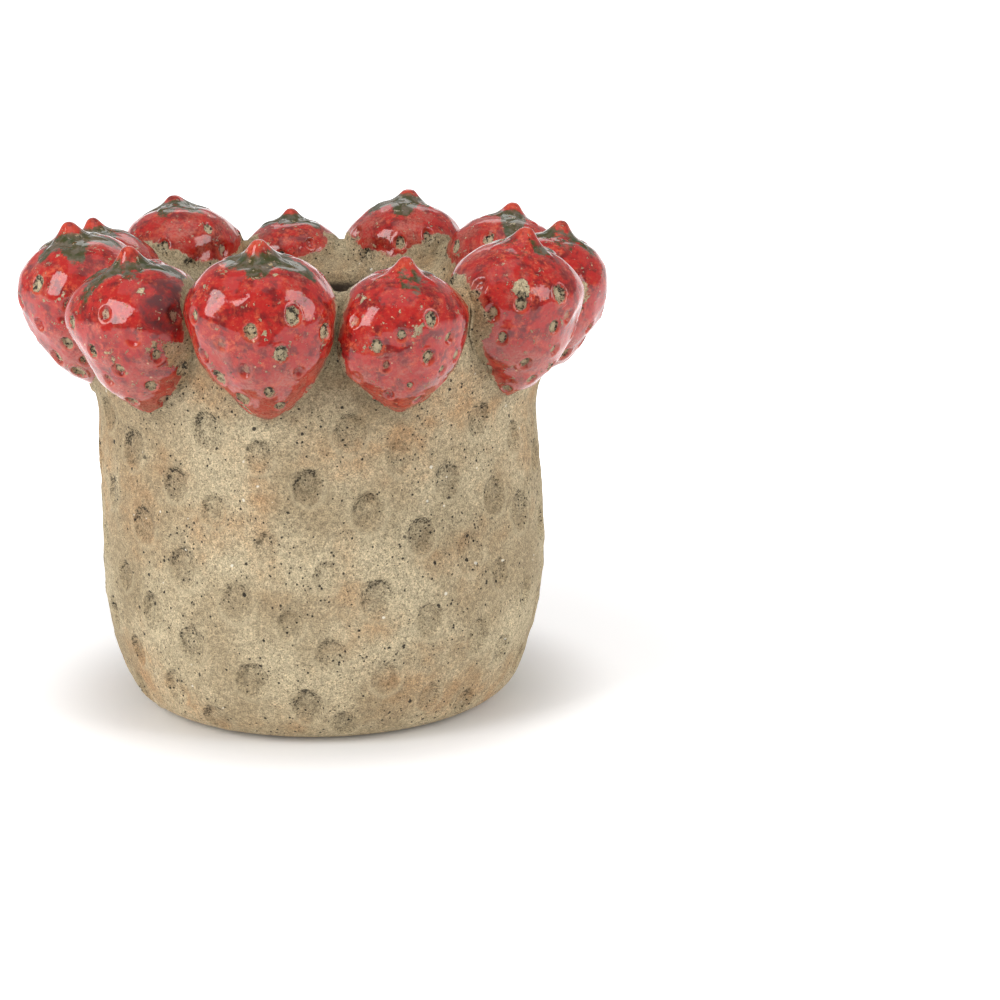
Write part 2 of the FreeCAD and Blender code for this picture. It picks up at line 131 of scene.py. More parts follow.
def soft_min(first: Values, second: Values, reach: Values) -> Values:
    """The lesser of two distances, with the crease between them filled from a reach on."""
    share = np.clip(1.0 - np.abs(first - second) / reach, 0.0, 1.0)
    return np.minimum(first, second) - share * share * reach / 4.0


def arc(centre: Point, radius: float, start: float, end: float, step: float = OUTLINE_STEP) -> Values:
    """Points along an arc from one angle in radians to another, without the last one."""
    turns = np.linspace(start, end, max(2, int(abs(end - start) * radius / step)), endpoint=False)
    return np.stack([centre[0] + radius * np.cos(turns), centre[1] + radius * np.sin(turns)], axis=1)


def straight(start: Point, end: Point) -> Values:
    """Points along a straight edge, without the last one."""
    share = np.linspace(0.0, 1.0, max(2, int(math.dist(start, end) / OUTLINE_STEP)), endpoint=False)[:, None]
    return np.asarray(start) * (1 - share) + np.asarray(end) * share


def spot(centre: Point, radius: float, turn: float) -> Point:
    """The point of a circle at an angle in radians."""
    return (centre[0] + radius * math.cos(turn), centre[1] + radius * math.sin(turn))


def bearing(centre: Point, point: Point) -> float:
    """The angle in radians at which a point stands from a centre."""
    return math.atan2(point[1] - centre[1], point[0] - centre[0])


def outward(along: Values) -> Values:
    """Unit directions to the right of the ways along an outline."""
    return np.stack([along[:, 1], -along[:, 0]], axis=1) / np.hypot(*along.T)[:, None]


def read_line(at: Values, run: Values, line: Values) -> Values:
    """The points of a line at distances along it."""
    return np.stack([np.interp(at, run, line[:, k]) for k in (0, 1)], axis=1)


def running(line: Values, gaps: Values | float = 1.0) -> Values:
    """How far along each point of a line lies, in lengths of the gaps."""
    return np.concatenate([[0.0], np.cumsum(np.hypot(*np.diff(line, axis=0).T) / gaps)])


def turned(flat: Values, turns: Values) -> Values:
    """Points of an outline, or its directions, turned about the upright axis."""
    return np.stack([flat[:, 0] * np.cos(turns), flat[:, 0] * np.sin(turns), flat[:, 1]], axis=1)


def off_axis(points: Values) -> Values:
    """Distances of points from the upright axis."""
    return np.hypot(points[:, 0], points[:, 1])


def even_turns(count: int) -> Values:
    """Angles in radians, evenly round the axis."""
    return FULL_TURN * np.arange(count) / count


class HandNoise:
    """Soft unevenness of hand work: a seeded sum of waves in many directions."""

    def __init__(self, wavelength: float, seed: int, waves: int = 28) -> None:
        """Draws the waves.

        Args:
            wavelength: Mean wavelength in millimetres.
            seed: Seed of the draw.
            waves: Number of waves that are added.
        """
        draw = np.random.default_rng(seed)
        directions = draw.normal(size=(waves, 3))
        directions /= np.linalg.norm(directions, axis=1)[:, None]
        lengths = wavelength * draw.uniform(0.7, 1.5, waves)
        self.turns = directions * (FULL_TURN / lengths)[:, None]
        self.starts = draw.uniform(0, FULL_TURN, waves)
        self.scale = 1.0 / math.sqrt(waves)

    def at(self, points: Values) -> Values:
        """The unevenness at points in millimetres, mostly between -1 and 1."""
        return np.sin(points @ self.turns.T + self.starts).sum(axis=1) * self.scale


class DistanceMap:
    """Signed distances to a closed outline, kept on a grid."""

    def __init__(self, outline: Values, low: Point, high: Point, step: float = 0.5) -> None:
        """Measures the grid.

        Args:
            outline: Corners of the closed outline, in order.
            low: Lowest corner of the grid.
            high: Highest corner of the grid.
            step: Distance between grid points.
        """
        self.low, self.step = np.asarray(low, float), step
        count = np.ceil((np.asarray(high) - self.low) / step).astype(int) + 1
        lines = [self.low[k] + step * np.arange(count[k]) for k in (0, 1)]
        spots = np.stack(np.meshgrid(*lines, indexing="ij"), axis=-1).reshape(-1, 2)
        nearest = np.full(len(spots), np.inf)
        inside = np.zeros(len(spots), bool)
        for start, end in zip(outline, np.roll(outline, -1, axis=0)):
            run = end - start
            share = np.clip((spots - start) @ run / max(run @ run, 1e-12), 0, 1)
            gap = spots - start - share[:, None] * run
            nearest = np.minimum(nearest, (gap * gap).sum(axis=1))
            if start[1] != end[1]:
                spans = (start[1] > spots[:, 1]) != (end[1] > spots[:, 1])
                crossing = start[0] + (spots[:, 1] - start[1]) * run[0] / run[1]
                inside ^= spans & (spots[:, 0] < crossing)
        self.grid = (np.sqrt(nearest) * np.where(inside, -1.0, 1.0)).reshape(count)

    def at(self, across: Values, up: Values) -> Values:
        """Signed distances at points, negative inside.

        Args:
            across: First coordinates.
            up: Second coordinates.

        Returns:
            The distances.
        """
        g = self.grid
        last = np.asarray(g.shape) - 1.001
        x = np.clip((across - self.low[0]) / self.step, 0, last[0])
        y = np.clip((up - self.low[1]) / self.step, 0, last[1])
        column, row = x.astype(int), y.astype(int)
        fx, fy = x - column, y - row
        low = g[column, row] * (1 - fx) + g[column + 1, row] * fx
        high = g[column, row + 1] * (1 - fx) + g[column + 1, row + 1] * fx
        return low * (1 - fy) + high * fy

    def slope(self, across: Values, up: Values) -> Values:
        """The unit direction in which the distance grows.

        Args:
            across: First coordinates.
            up: Second coordinates.

        Returns:
            Two rows, the direction's parts across and up.
        """
        reach = self.step
        dx = self.at(across + reach, up) - self.at(across - reach, up)
        dy = self.at(across, up + reach) - self.at(across, up - reach)
        return np.stack([dx, dy]) / np.maximum(np.hypot(dx, dy), 1e-6)


def smooth_ring(points: Values, spread: float) -> Values:
    """Rounds the corners of a closed outline.

    Args:
        points: Points of the outline, evenly spaced.
        spread: How far the rounding reaches, in millimetres.

    Returns:
        The rounded points.
    """
    reach = int(3 * spread / OUTLINE_STEP)
    offsets = np.arange(-reach, reach + 1)
    weights = np.exp(-0.5 * (offsets * OUTLINE_STEP / spread) ** 2)
    weights /= weights.sum()
    return sum(weight * np.roll(points, -offset, axis=0) for offset, weight in zip(offsets, weights))


def bands(rows: Values) -> list[list[int]]:
    """Faces between closed rows of point numbers, one row after another."""
    right = np.roll(rows, -1, axis=1)
    return np.stack([rows[:-1], right[:-1], right[1:], rows[1:]], axis=-1).reshape(-1, 4).tolist()


def closed_skin(rows: Values, start: int, end: int) -> list[list[int]]:
    """Faces of a closed skin: bands between rows, and a fan at either end.

    Args:
        rows: Point numbers, a row for each ring.
        start: Point inside the first ring.
        end: Point inside the last ring.

    Returns:
        Point numbers of each face.
    """
    first, last = rows[0].tolist(), rows[-1].tolist()
    fans = [[start, b, a] for a, b in zip(first, first[1:] + first[:1])]
    fans += [[a, b, end] for a, b in zip(last, last[1:] + last[:1])]
    return bands(rows) + fans


def grid_mesh(name: str, points: Values, faces: list[list[int]]) -> Mesh:
    """A smooth mesh in metres.

    Args:
        name: Name of the mesh.
        points: Points in millimetres.
        faces: Point numbers of each face.

    Returns:
        The mesh.
    """
    mesh = bpy.data.meshes.new(name)
    mesh.from_pydata((points * MM).tolist(), [], faces)
    mesh.shade_smooth()
    mesh.update()
    return mesh


def add_values(mesh: Mesh, name: str, values: Values) -> None:
    """Keeps one number, or one row of three, for each point of a mesh."""
    kind, key = ("FLOAT", "value") if values.ndim == 1 else ("FLOAT_VECTOR", "vector")
    mesh.attributes.new(name, kind, "POINT").data.foreach_set(key, values.astype(np.float32).ravel())


def read_points(mesh: Mesh) -> Values:
    """The points of a mesh in millimetres."""
    points = np.empty(len(mesh.vertices) * 3, np.float32)
    mesh.vertices.foreach_get("co", points)
    return points.reshape(-1, 3).astype(float) / MM


def write_points(mesh: Mesh, points: Values) -> None:
    """Moves the points of a mesh to places in millimetres."""
    mesh.vertices.foreach_set("co", (points * MM).astype(np.float32).ravel())
    mesh.update()


def within(points: Values, box: Values, margin: float = 1.6) -> Values:
    """Eases points that would stand outside the part's box back into it.

    Args:
        points: Points in millimetres.
        box: Lowest and highest corner of the box in millimetres.
        margin: Distance from the box at which the easing starts.

    Returns:
        The eased points.
    """
    above = np.maximum(points - (box[1] - margin), 0.0)
    below = np.maximum(box[0] + margin - points, 0.0)
    eased = points - above + margin * (1.0 - np.exp(-above / margin))
    return eased + below - margin * (1.0 - np.exp(-below / margin))


def add_object(name: str, data: bpy.types.ID) -> Piece:
    """A new object in the scene."""
    made = bpy.data.objects.new(name, data)
    bpy.context.scene.collection.objects.link(made)
    return made


def add_piece(name: str, mesh: Mesh, finish: Slot, *nodes: str) -> Piece:
    """Puts a piece of the part into the scene.

    Args:
        name: Name of the piece.
        mesh: Its mesh.
        finish: Its finish in the record; not used.
        nodes: The CAD nodes that it stands for.

    Returns:
        The piece.
    """
    piece = add_object(name, mesh)
    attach(piece, BODY)
    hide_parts(*nodes)
    return piece


class Wires:
    """Adds nodes to a tree and joins them, so that a formula reads in order."""

    def __init__(self, tree: bpy.types.NodeTree) -> None:
        """Starts on a tree."""
        self.tree = tree

    def node(self, kind: str, inputs: Inputs | None = None, **settings: object) -> bpy.types.Node:
        """A new node.

        Args:
            kind: Type name of the node.
            inputs: What its inputs take, by their names or numbers.
            settings: Properties to set on it.

        Returns:
            The node.
        """
        made = self.tree.nodes.new(kind)
        for name, value in settings.items():
            setattr(made, name, value)
        self.put(made, inputs or {})
        return made

    def put(self, node: bpy.types.Node, inputs: Inputs) -> None:
        """Gives a node's inputs their values or joins them to outputs.

        Args:
            node: Node that takes the values.
            inputs: A number, a tuple or an output for each input, by its name or number.
        """
        for name, value in inputs.items():
            named = [s for s in node.inputs if s.name == name and s.enabled]
            socket = node.inputs[name] if isinstance(name, int) else named[0]
            if isinstance(value, Socket):
                self.tree.links.new(value, socket)
            else:
                socket.default_value = value

    def call(self, kind: str, inputs: Inputs | None = None, **settings: object) -> Socket:
        """The first output in use of a new node."""
        return next(s for s in self.node(kind, inputs, **settings).outputs if s.enabled)

    def math(self, operation: str, *values: object) -> Socket:
        """A sum on numbers."""
        return self.call("ShaderNodeMath", dict(enumerate(values)), operation=operation)

    def times(self, *values: object) -> Socket:
        """The product of two or more numbers."""
        return reduce(lambda first, second: self.math("MULTIPLY", first, second), values)

    def most(self, *values: object) -> Socket:
        """The greatest of two or more numbers."""
        return reduce(lambda first, second: self.math("MAXIMUM", first, second), values)

    def line(self, value: object, slope: object, start: object) -> Socket:
        """A number times a slope, added to a start."""
        return self.math("MULTIPLY_ADD", value, slope, start)

    def minus(self, first: object, second: object) -> Socket:
        """The difference of two numbers."""
        return self.math("SUBTRACT", first, second)

    def over(self, *values: object) -> Socket:
        """A number divided by one or more others."""
        return reduce(lambda first, second: self.math("DIVIDE", first, second), values)

    def length(self, u: object, v: object) -> Socket:
        """The length of two parts at right angles."""
        return self.math("SQRT", self.math("ADD", self.times(u, u), self.times(v, v)))

    def vector(self, operation: str, *values: object) -> Socket:
        """A sum on vectors: the vector, or the number of a dot product or length."""
        return self.call("ShaderNodeVectorMath", dict(enumerate(values)), operation=operation)

    def stretch(self, vector: object, share: object) -> Socket:
        """A vector made longer or shorter."""
        return self.call("ShaderNodeVectorMath", {0: vector, "Scale": share}, operation="SCALE")

    def ease(self, low: object, high: object, value: object, start: object = 0.0, end: object = 1) -> Socket:
        """A smooth step from start where the value is low to end where it is high."""
        ends = {"Value": value, "From Min": low, "From Max": high, "To Min": start, "To Max": end}
        return self.call("ShaderNodeMapRange", ends, interpolation_type="SMOOTHSTEP")

    def blend(self, share: object, first: object, second: object, mode: str = "MIX") -> Socket:
        """A mix of two colours by the share of the second."""
        colours = {"Factor": share, "A": first, "B": second}
        return self.call("ShaderNodeMix", colours, data_type="RGBA", blend_type=mode)

    def coats(self, base: object, *coats: tuple[object, object]) -> Socket:
        """A base under colours that are laid over it in turn, each with its cover."""
        return reduce(lambda under, coat: self.blend(coat[0], under, coat[1]), coats, base)

    def parts(self, vector: object) -> tuple[Socket, ...]:
        """The three numbers of a vector."""
        return tuple(self.node("ShaderNodeSeparateXYZ", {0: vector}).outputs)

    def join(self, *values: object) -> Socket:
        """A vector from three numbers."""
        return self.call("ShaderNodeCombineXYZ", dict(enumerate(values)))


@dataclass(frozen=True)
class Cloud:
    """Cloudy noise of a size in millimetres, and the soft step that makes patches of it."""

    size: float
    detail: float
    rough: float
    shift: float
    low: float = 0.0
    high: float = 1.0
    start: float = 0.0
    end: float = 1.0


@dataclass(frozen=True)
class Specks:
    """Specks strewn at random: mean distance, largest radius, offset and share of places taken."""

    cell: float
    radius: float
    shift: float
    share: float = 1.0


class SurfaceWires(Wires):
    """Nodes of a new material, with patterns sized in millimetres on Object coordinates."""

    def __init__(self, name: str) -> None:
        """Starts a material.

        Args:
            name: Name of the material.
        """
        self.material = bpy.data.materials.new(name)
        self.material.use_nodes = True
        super().__init__(self.material.node_tree)
        self.shader = self.tree.nodes["Principled BSDF"]
        self.place = self.node("ShaderNodeTexCoord").outputs["Object"]

    def shifted(self, shift: float) -> Socket:
        """The coordinates moved, so that two patterns of one size differ."""
        return self.vector("ADD", self.place, (shift, 0.7 * shift, -1.3 * shift))

    def noise(self, cloud: Cloud) -> Socket:
        """Cloudy noise from 0 to 1."""
        shape = {"Scale": 1 / (cloud.size * MM), "Detail": cloud.detail, "Roughness": cloud.rough}
        return self.call("ShaderNodeTexNoise", {"Vector": self.shifted(cloud.shift), **shape})

    def patches(self, cloud: Cloud) -> Socket:
        """Patches of cloudy noise with soft edges."""
        return self.ease(cloud.low, cloud.high, self.noise(cloud), cloud.start, cloud.end)

    def specks(self, kind: Specks, share: object = None) -> Socket:
        """Ragged specks of uneven size.

        Args:
            kind: The specks.
            share: Share of the places that hold one, where it isn't the kind's own.

        Returns:
            1 on a speck and 0 off it.
        """
        size = kind.radius / kind.cell
        scale = 1 / (kind.cell * MM)
        cells = self.node("ShaderNodeTexVoronoi", {"Vector": self.shifted(kind.shift), "Scale": scale})
        draw = self.node("ShaderNodeSeparateColor", {0: cells.outputs["Color"]}).outputs
        reach = self.line(draw[1], size * 0.7, size * 0.3)
        ragged = self.minus(self.noise(Cloud(0.8 * kind.radius, 2, 0.6, kind.shift + 1.1)), 0.5)
        away = self.line(ragged, 1.1 * size, cells.outputs["Distance"])
        shown = self.ease(self.times(reach, 0.75), reach, away, 1.0, 0.0)
        return self.times(shown, self.math("LESS_THAN", draw[0], kind.share if share is None else share))

    def kept(self, name: str, output: str = "Fac") -> Socket:
        """A value that the mesh keeps for each point."""
        return self.node("ShaderNodeAttribute", attribute_name=name).outputs[output]

    def triple(self, name: str) -> tuple[Socket, ...]:
        """The three numbers that the mesh keeps for each point."""
        return self.parts(self.kept(name, "Vector"))

    def bump(self, height: object, depth: float) -> Socket:
        """A normal from a height, a full step of which has a depth in millimetres."""
        return self.call("ShaderNodeBump", {"Strength": 1.0, "Distance": depth * MM, "Height": height})


@dataclass(frozen=True)
class MarkPattern:
    """A winding pattern of oval marks in millimetres and radians. Each field is an input of the tree."""

    rows: int
    per_row: int
    low_height: float
    high_height: float
    first_turn: float
    row_shift: float
    stray_turn: float
    stray_height: float
    reach: float
    half_width: float
    half_length: float
    depth: float
    lip: float
    grain: float
    uneven: float
    seed: int


class PressedMarks:
    """A Geometry Nodes tree that presses a pattern of marks into a turned surface."""

    SIZED = "low_height high_height stray_height half_width half_length depth lip grain".split()
    GATE = 1.7

    def __init__(self) -> None:
        """Builds the tree."""
        self.tree = bpy.data.node_groups.new("Pressed marks", "GeometryNodeTree")
        face = self.tree.interface
        face.new_socket("Geometry", in_out="OUTPUT", socket_type="NodeSocketGeometry")
        kinds = {"geometry": "Geometry", "material": "Material"}
        kinds |= {part.name: "Int" if part.type == "int" else "Float" for part in fields(MarkPattern)}
        self.names: dict[str, str] = {}
        for name, kind in kinds.items():
            title = name.replace("_", " ").title()
            socket = face.new_socket(title, in_out="INPUT", socket_type="NodeSocket" + kind)
            self.names[name] = socket.identifier
        self.w = Wires(self.tree)
        self.given = self.w.node("NodeGroupInput").outputs
        self.build()

    def random(self, low: object, high: object, offset: int) -> Socket:
        """A number between two others, drawn for each mark by the seed and an offset."""
        drawn = {"Min": low, "Max": high, "ID": self.w.call("GeometryNodeInputIndex")}
        drawn["Seed"] = self.w.math("ADD", self.given["Seed"], offset)
        return self.w.call("FunctionNodeRandomValue", drawn, data_type="FLOAT")

    def keep(self, geometry: object, name: str, value: object, kind: str = "FLOAT_VECTOR") -> Socket:
        """The geometry with a value kept for each point."""
        kept = {"Geometry": geometry, "Name": name, "Value": value}
        return self.w.call("GeometryNodeStoreNamedAttribute", kept, data_type=kind, domain="POINT")

    def named(self, name: str) -> Socket:
        """A vector that was kept before."""
        return self.w.call("GeometryNodeInputNamedAttribute", {"Name": name}, data_type="FLOAT_VECTOR")

    def build(self) -> None:
        """Lays the nodes: the marks' places, the pressing, and the kept values."""
        w, given = self.w, self.given
        marks = self.lay_marks()
        here = w.call("GeometryNodeInputPosition")
        place = {"Geometry": marks, "Sample Position": here}
        nearest = w.call("GeometryNodeSampleNearest", place, domain="POINT")
        heart, out, draw = (
            w.call(
                "GeometryNodeSampleIndex",
                {"Geometry": marks, "Value": value, "Index": nearest},
                data_type="FLOAT_VECTOR",
                domain="POINT",
            )
            for value in (here, self.named("mark_out"), self.named("mark_draw"))
        )
        size_share, depth_share, tone = w.parts(draw)
        gap = w.vector("SUBTRACT", here, heart)
        side = w.vector("NORMALIZE", w.vector("CROSS_PRODUCT", (0.0, 0.0, 1.0), out))
        up = w.vector("CROSS_PRODUCT", out, side)
        across, along, below = (w.vector("DOT_PRODUCT", gap, way) for way in (side, up, out))
        u = w.over(across, given["Half Width"], size_share)
        v = w.over(along, given["Half Length"], size_share)
        q = w.length(u, v)
        same_side = w.ease(-1.1, -0.7, w.over(below, given["Half Width"]))
        gate = w.times(w.ease(1.3, self.GATE, q, 1.0, 0.0), same_side)
        ring = w.over(w.minus(q, 1.13), 0.17)
        ring = w.math("EXPONENT", w.times(ring, ring, -1.0))
        depth = w.times(w.ease(0.62, 1.05, q, 1.0, 0.0), given["Depth"], -1.0)
        depth = w.line(w.ease(0.1, 0.62, q, 1.0, 0.0), given["Grain"], depth)
        depth = w.times(w.line(ring, given["Lip"], depth), gate, depth_share)
        kept = self.keep(given["Geometry"], "mark", w.join(u, v, tone))
        kept = self.keep(kept, "press", gate, "FLOAT")
        kept = self.keep(kept, "sink", w.stretch(w.call("GeometryNodeInputNormal"), depth))
        pressed = w.call("GeometryNodeSetPosition", {"Geometry": kept, "Offset": self.named("sink")})
        plain = w.call("GeometryNodeRemoveAttribute", {"Geometry": pressed, "Name": "sink"})
        real = w.call("GeometryNodeRealizeInstances", {"Geometry": plain})
        dressed = w.call("GeometryNodeSetMaterial", {"Geometry": real, "Material": given["Material"]})
        w.node("NodeGroupOutput", {0: dressed})

    def lay_marks(self) -> Socket:
        """Lays one point for each mark on the surface, row by row.

        Returns:
            The points, each with its outward direction and its drawn numbers.
        """
        w, given = self.w, self.given
        number = w.call("GeometryNodeInputIndex")
        row = w.math("FLOOR", w.over(w.math("ADD", number, 0.5), given["Per Row"]))
        column = w.minus(number, w.times(row, given["Per Row"]))
        turn = w.times(w.line(row, given["Row Shift"], column), FULL_TURN)
        turn = w.math("ADD", w.over(turn, given["Per Row"]), given["First Turn"])
        turn = w.line(self.random(-1.0, 1.0, 11), given["Stray Turn"], turn)
        share = w.over(row, w.minus(given["Rows"], 1))
        span = w.minus(given["Low Height"], given["High Height"])
        height = w.line(share, span, given["High Height"])
        height = w.line(self.random(-1.0, 1.0, 12), given["Stray Height"], height)
        way = w.join(w.math("SINE", turn), w.times(w.math("COSINE", turn), -1), 0.0)
        source = w.vector("ADD", w.stretch(way, given["Reach"]), w.join(0.0, 0.0, height))
        count = w.times(given["Rows"], given["Per Row"])
        laid = w.call("GeometryNodePoints", {"Count": count, "Position": source})
        laid = self.keep(laid, "mark_ray", w.stretch(way, -1.0))
        size_share = self.random(w.minus(1.0, w.times(given["Uneven"], 0.6)), 1.15, 13)
        depth_share = self.random(w.minus(1.1, w.times(given["Uneven"], 2.0)), 1.1, 14)
        laid = self.keep(laid, "mark_draw", w.join(size_share, depth_share, self.random(0.0, 1.0, 15)))
        ray = w.node(
            "GeometryNodeRaycast",
            {
                "Target Geometry": given["Geometry"],
                "Source Position": w.call("GeometryNodeInputPosition"),
                "Ray Direction": self.named("mark_ray"),
                "Ray Length": given["Reach"],
            },
        ).outputs
        laid = self.keep(laid, "mark_out", ray["Hit Normal"])
        return w.call("GeometryNodeSetPosition", {"Geometry": laid, "Position": ray["Hit Position"]})

    def press(self, mesh: Mesh, pattern: MarkPattern, finish: Material, share: float = 1.0) -> Mesh:
        """Presses a pattern into a mesh.

        Args:
            mesh: Mesh to press, which is used up.
            pattern: The pattern at its full size.
            finish: Material of the pressed mesh.
            share: Size of the marks against their full size.

        Returns:
            The pressed mesh, plain.
        """
        carrier = add_object(mesh.name + "_blank", mesh)
        modifier = carrier.modifiers.new("Pressed marks", "NODES")
        modifier.node_group = self.tree
        modifier[self.names["material"]] = finish
        scales = dict.fromkeys(self.SIZED, share * MM) | {"reach": MM}
        for part in fields(pattern):
            modifier[self.names[part.name]] = getattr(pattern, part.name) * scales.get(part.name, 1)
        graph = bpy.context.evaluated_depsgraph_get()
        pressed = bpy.data.meshes.new_from_object(carrier.evaluated_get(graph))
        carrier.modifiers.remove(modifier)
        bpy.data.objects.remove(carrier)
        bpy.data.meshes.remove(mesh)
        return pressed


@dataclass(frozen=True)
class SandyClay:
    """Bare clay after firing: sandy beige with pores, grit and rusty patches; dirty marks with painted shade
    in them and a painted highlight on their lower lips, painted shade near the berries, and painted shade
    inside.
    """

    sand: Colour = paint(176, 157, 124)
    pale: Colour = paint(204, 188, 154)
    ochre: Colour = paint(186, 140, 93)
    dull: Colour = paint(150, 132, 100)
    fleck: Colour = paint(96, 82, 60)
    pore: Colour = paint(24, 20, 16)
    grit: Colour = paint(240, 234, 218)
    # Dark brown painted shade for the pot's inside and underside.
    soil: Colour = paint(66, 52, 40)
    grime: Colour = paint(92, 82, 62)
    spill: Colour = paint(176, 92, 72)
    clouds: Cloud = Cloud(30, 4, 0.55, 0.31)
    mottle: Cloud = Cloud(7, 4, 0.6, 1.7)
    fine_grain: Cloud = Cloud(0.5, 2, 0.7, 5.1)
    coarse_grain: Cloud = Cloud(1.5, 2, 0.6, 6.0)
    speckle: Cloud = Cloud(0.7, 2, 0.65, 6.3)
    rust: Cloud = Cloud(44, 4, 0.62, 2.9, 0.46, 0.7, 0.0, 0.8)
    dusk: Cloud = Cloud(42, 3, 0.55, 4.4, 0.52, 0.72, 0.0, 0.5)
    clusters: Cloud = Cloud(12, 2, 0.5, 7.7, 0.48, 0.68, 0.14, 1.2)
    mark_edge: Cloud = Cloud(2.6, 3, 0.6, 0.9)
    mark_dirt_and_shade: Cloud = Cloud(2.4, 3, 0.65, 2.2, 0.36, 0.6, 0.25, 1.0)
    seam: Cloud = Cloud(6, 4, 0.65, 3.8)
    soiling: Cloud = Cloud(12, 3, 0.6, 1.1, 0.3, 0.6, 0.8, 1.0)
    small_pores: Specks = Specks(1.6, 0.5, 8.2)
    large_pores: Specks = Specks(4.8, 0.85, 9.4, 0.5)
    grit_grains: Specks = Specks(5.0, 0.7, 3.3, 0.3)
    roughness: float = 0.9
    relief: float = 0.35

    def colour(self, w: SurfaceWires, grime_and_shade: object) -> tuple[Socket, Socket]:
        """The clay's colour and its height.

        Args:
            w: Nodes of the material.
            grime_and_shade: How dirty the surface is, with painted shade added, from 0 to 1.

        Returns:
            The colour and the height.
        """
        clouds, mottle = w.noise(self.clouds), w.noise(self.mottle)
        fine, coarse = w.noise(self.fine_grain), w.noise(self.coarse_grain)
        rusty = w.times(w.patches(self.rust), w.ease(0.25, 0.6, mottle, 0.3, 1.0))
        sandy = w.times(w.ease(0.26, 0.74, fine, 0.56, 1.34), w.ease(0.3, 0.7, coarse, 0.78, 1.18))
        base = w.blend(w.ease(0.36, 0.64, clouds), self.sand, self.pale)
        base = w.coats(base, (rusty, self.ochre), (w.patches(self.dusk), self.dull))
        base = w.blend(1.0, base, w.join(sandy, sandy, sandy), "MULTIPLY")
        speckle = w.line(grime_and_shade, -0.17, w.ease(0.4, 0.7, clouds, 0.6, 0.57))
        flecks = w.ease(speckle, w.math("ADD", speckle, 0.06), w.noise(self.speckle))
        clustered = w.line(grime_and_shade, 0.6, w.patches(self.clusters))
        pores = w.most(w.specks(self.small_pores, clustered), w.specks(self.large_pores))
        # The first coat and the darker flecks lay dirt together with painted shade.
        base = w.coats(
            base,
            (w.times(grime_and_shade, 0.45), self.grime),
            (
                w.times(flecks, w.ease(0.3, 1.0, grime_and_shade, 0.6, 0.85)),
                w.blend(w.ease(0.25, 0.9, grime_and_shade), self.fleck, self.pore),
            ),
            (w.times(pores, 0.92), self.pore),
            (w.times(w.specks(self.grit_grains), 0.85), self.grit),
        )
        height = w.line(pores, -1.6, w.line(fine, 0.6, coarse))
        return base, w.math("ADD", mottle, height)

    def make(self) -> Material:
        """The material of the pot.

        Returns:
            The material.
        """
        w = SurfaceWires(Slot.CLAY.value)
        u, v, tone = w.triple("mark")
        press = w.kept("press")
        q = w.line(w.noise(self.mark_edge), 0.5, w.minus(w.length(u, v), 0.25))
        # Painted shade with patchy dirt in the dimples: darker in their bowls and grooves, most along the
        # grooves' upper left edge.
        groove = w.times(
            w.ease(0.4, 0.72, q),
            w.ease(0.9, 1.15, q, 1.0, 0.0),
            w.ease(-0.7, 0.85, w.line(u, -0.35, v), 0.2, 1.0),
            press,
            w.ease(0.0, 0.8, tone, 0.5, 1.0),
            w.patches(self.mark_dirt_and_shade),
        )
        bowl = w.times(w.ease(0.6, 1.25, q, 1.0, 0.0), press, w.ease(0.0, 1.0, tone, 0.14, 0.38))
        # Painted highlight: a pale lip round each dimple, strongest along its lower edge.
        lip = w.times(w.ease(1.0, 1.15, q), w.ease(1.25, 1.5, q, 0.28, 0.0))
        wear_and_lip_highlight = w.times(lip, press, w.ease(-0.6, 0.7, v, 1.0, 0.2))
        gap = w.line(w.noise(self.seam), 9.0, w.minus(w.kept("near"), 4.5))
        # Painted shade: the pot's inside and underside darkened to dark brown nearly all over.
        inside_shaded = w.times(w.kept("inside"), w.patches(self.soiling))
        # The mask below also holds painted shade with stain: the clay darkens close to the berries, in the
        # creases where they meet the wall.
        colour, height = self.colour(w, w.most(groove, bowl, w.ease(0.5, 5.5, gap, 0.22, 0.0)))
        spilt = w.ease(-2.3, -1.3, gap, 0.6, 0.0)
        colour = w.coats(colour, (wear_and_lip_highlight, self.pale), (spilt, self.spill), (inside_shaded, self.soil))
        normal = w.bump(height, self.relief)
        w.put(w.shader, {"Base Color": colour, "Roughness": self.roughness, "Normal": normal})
        return w.material


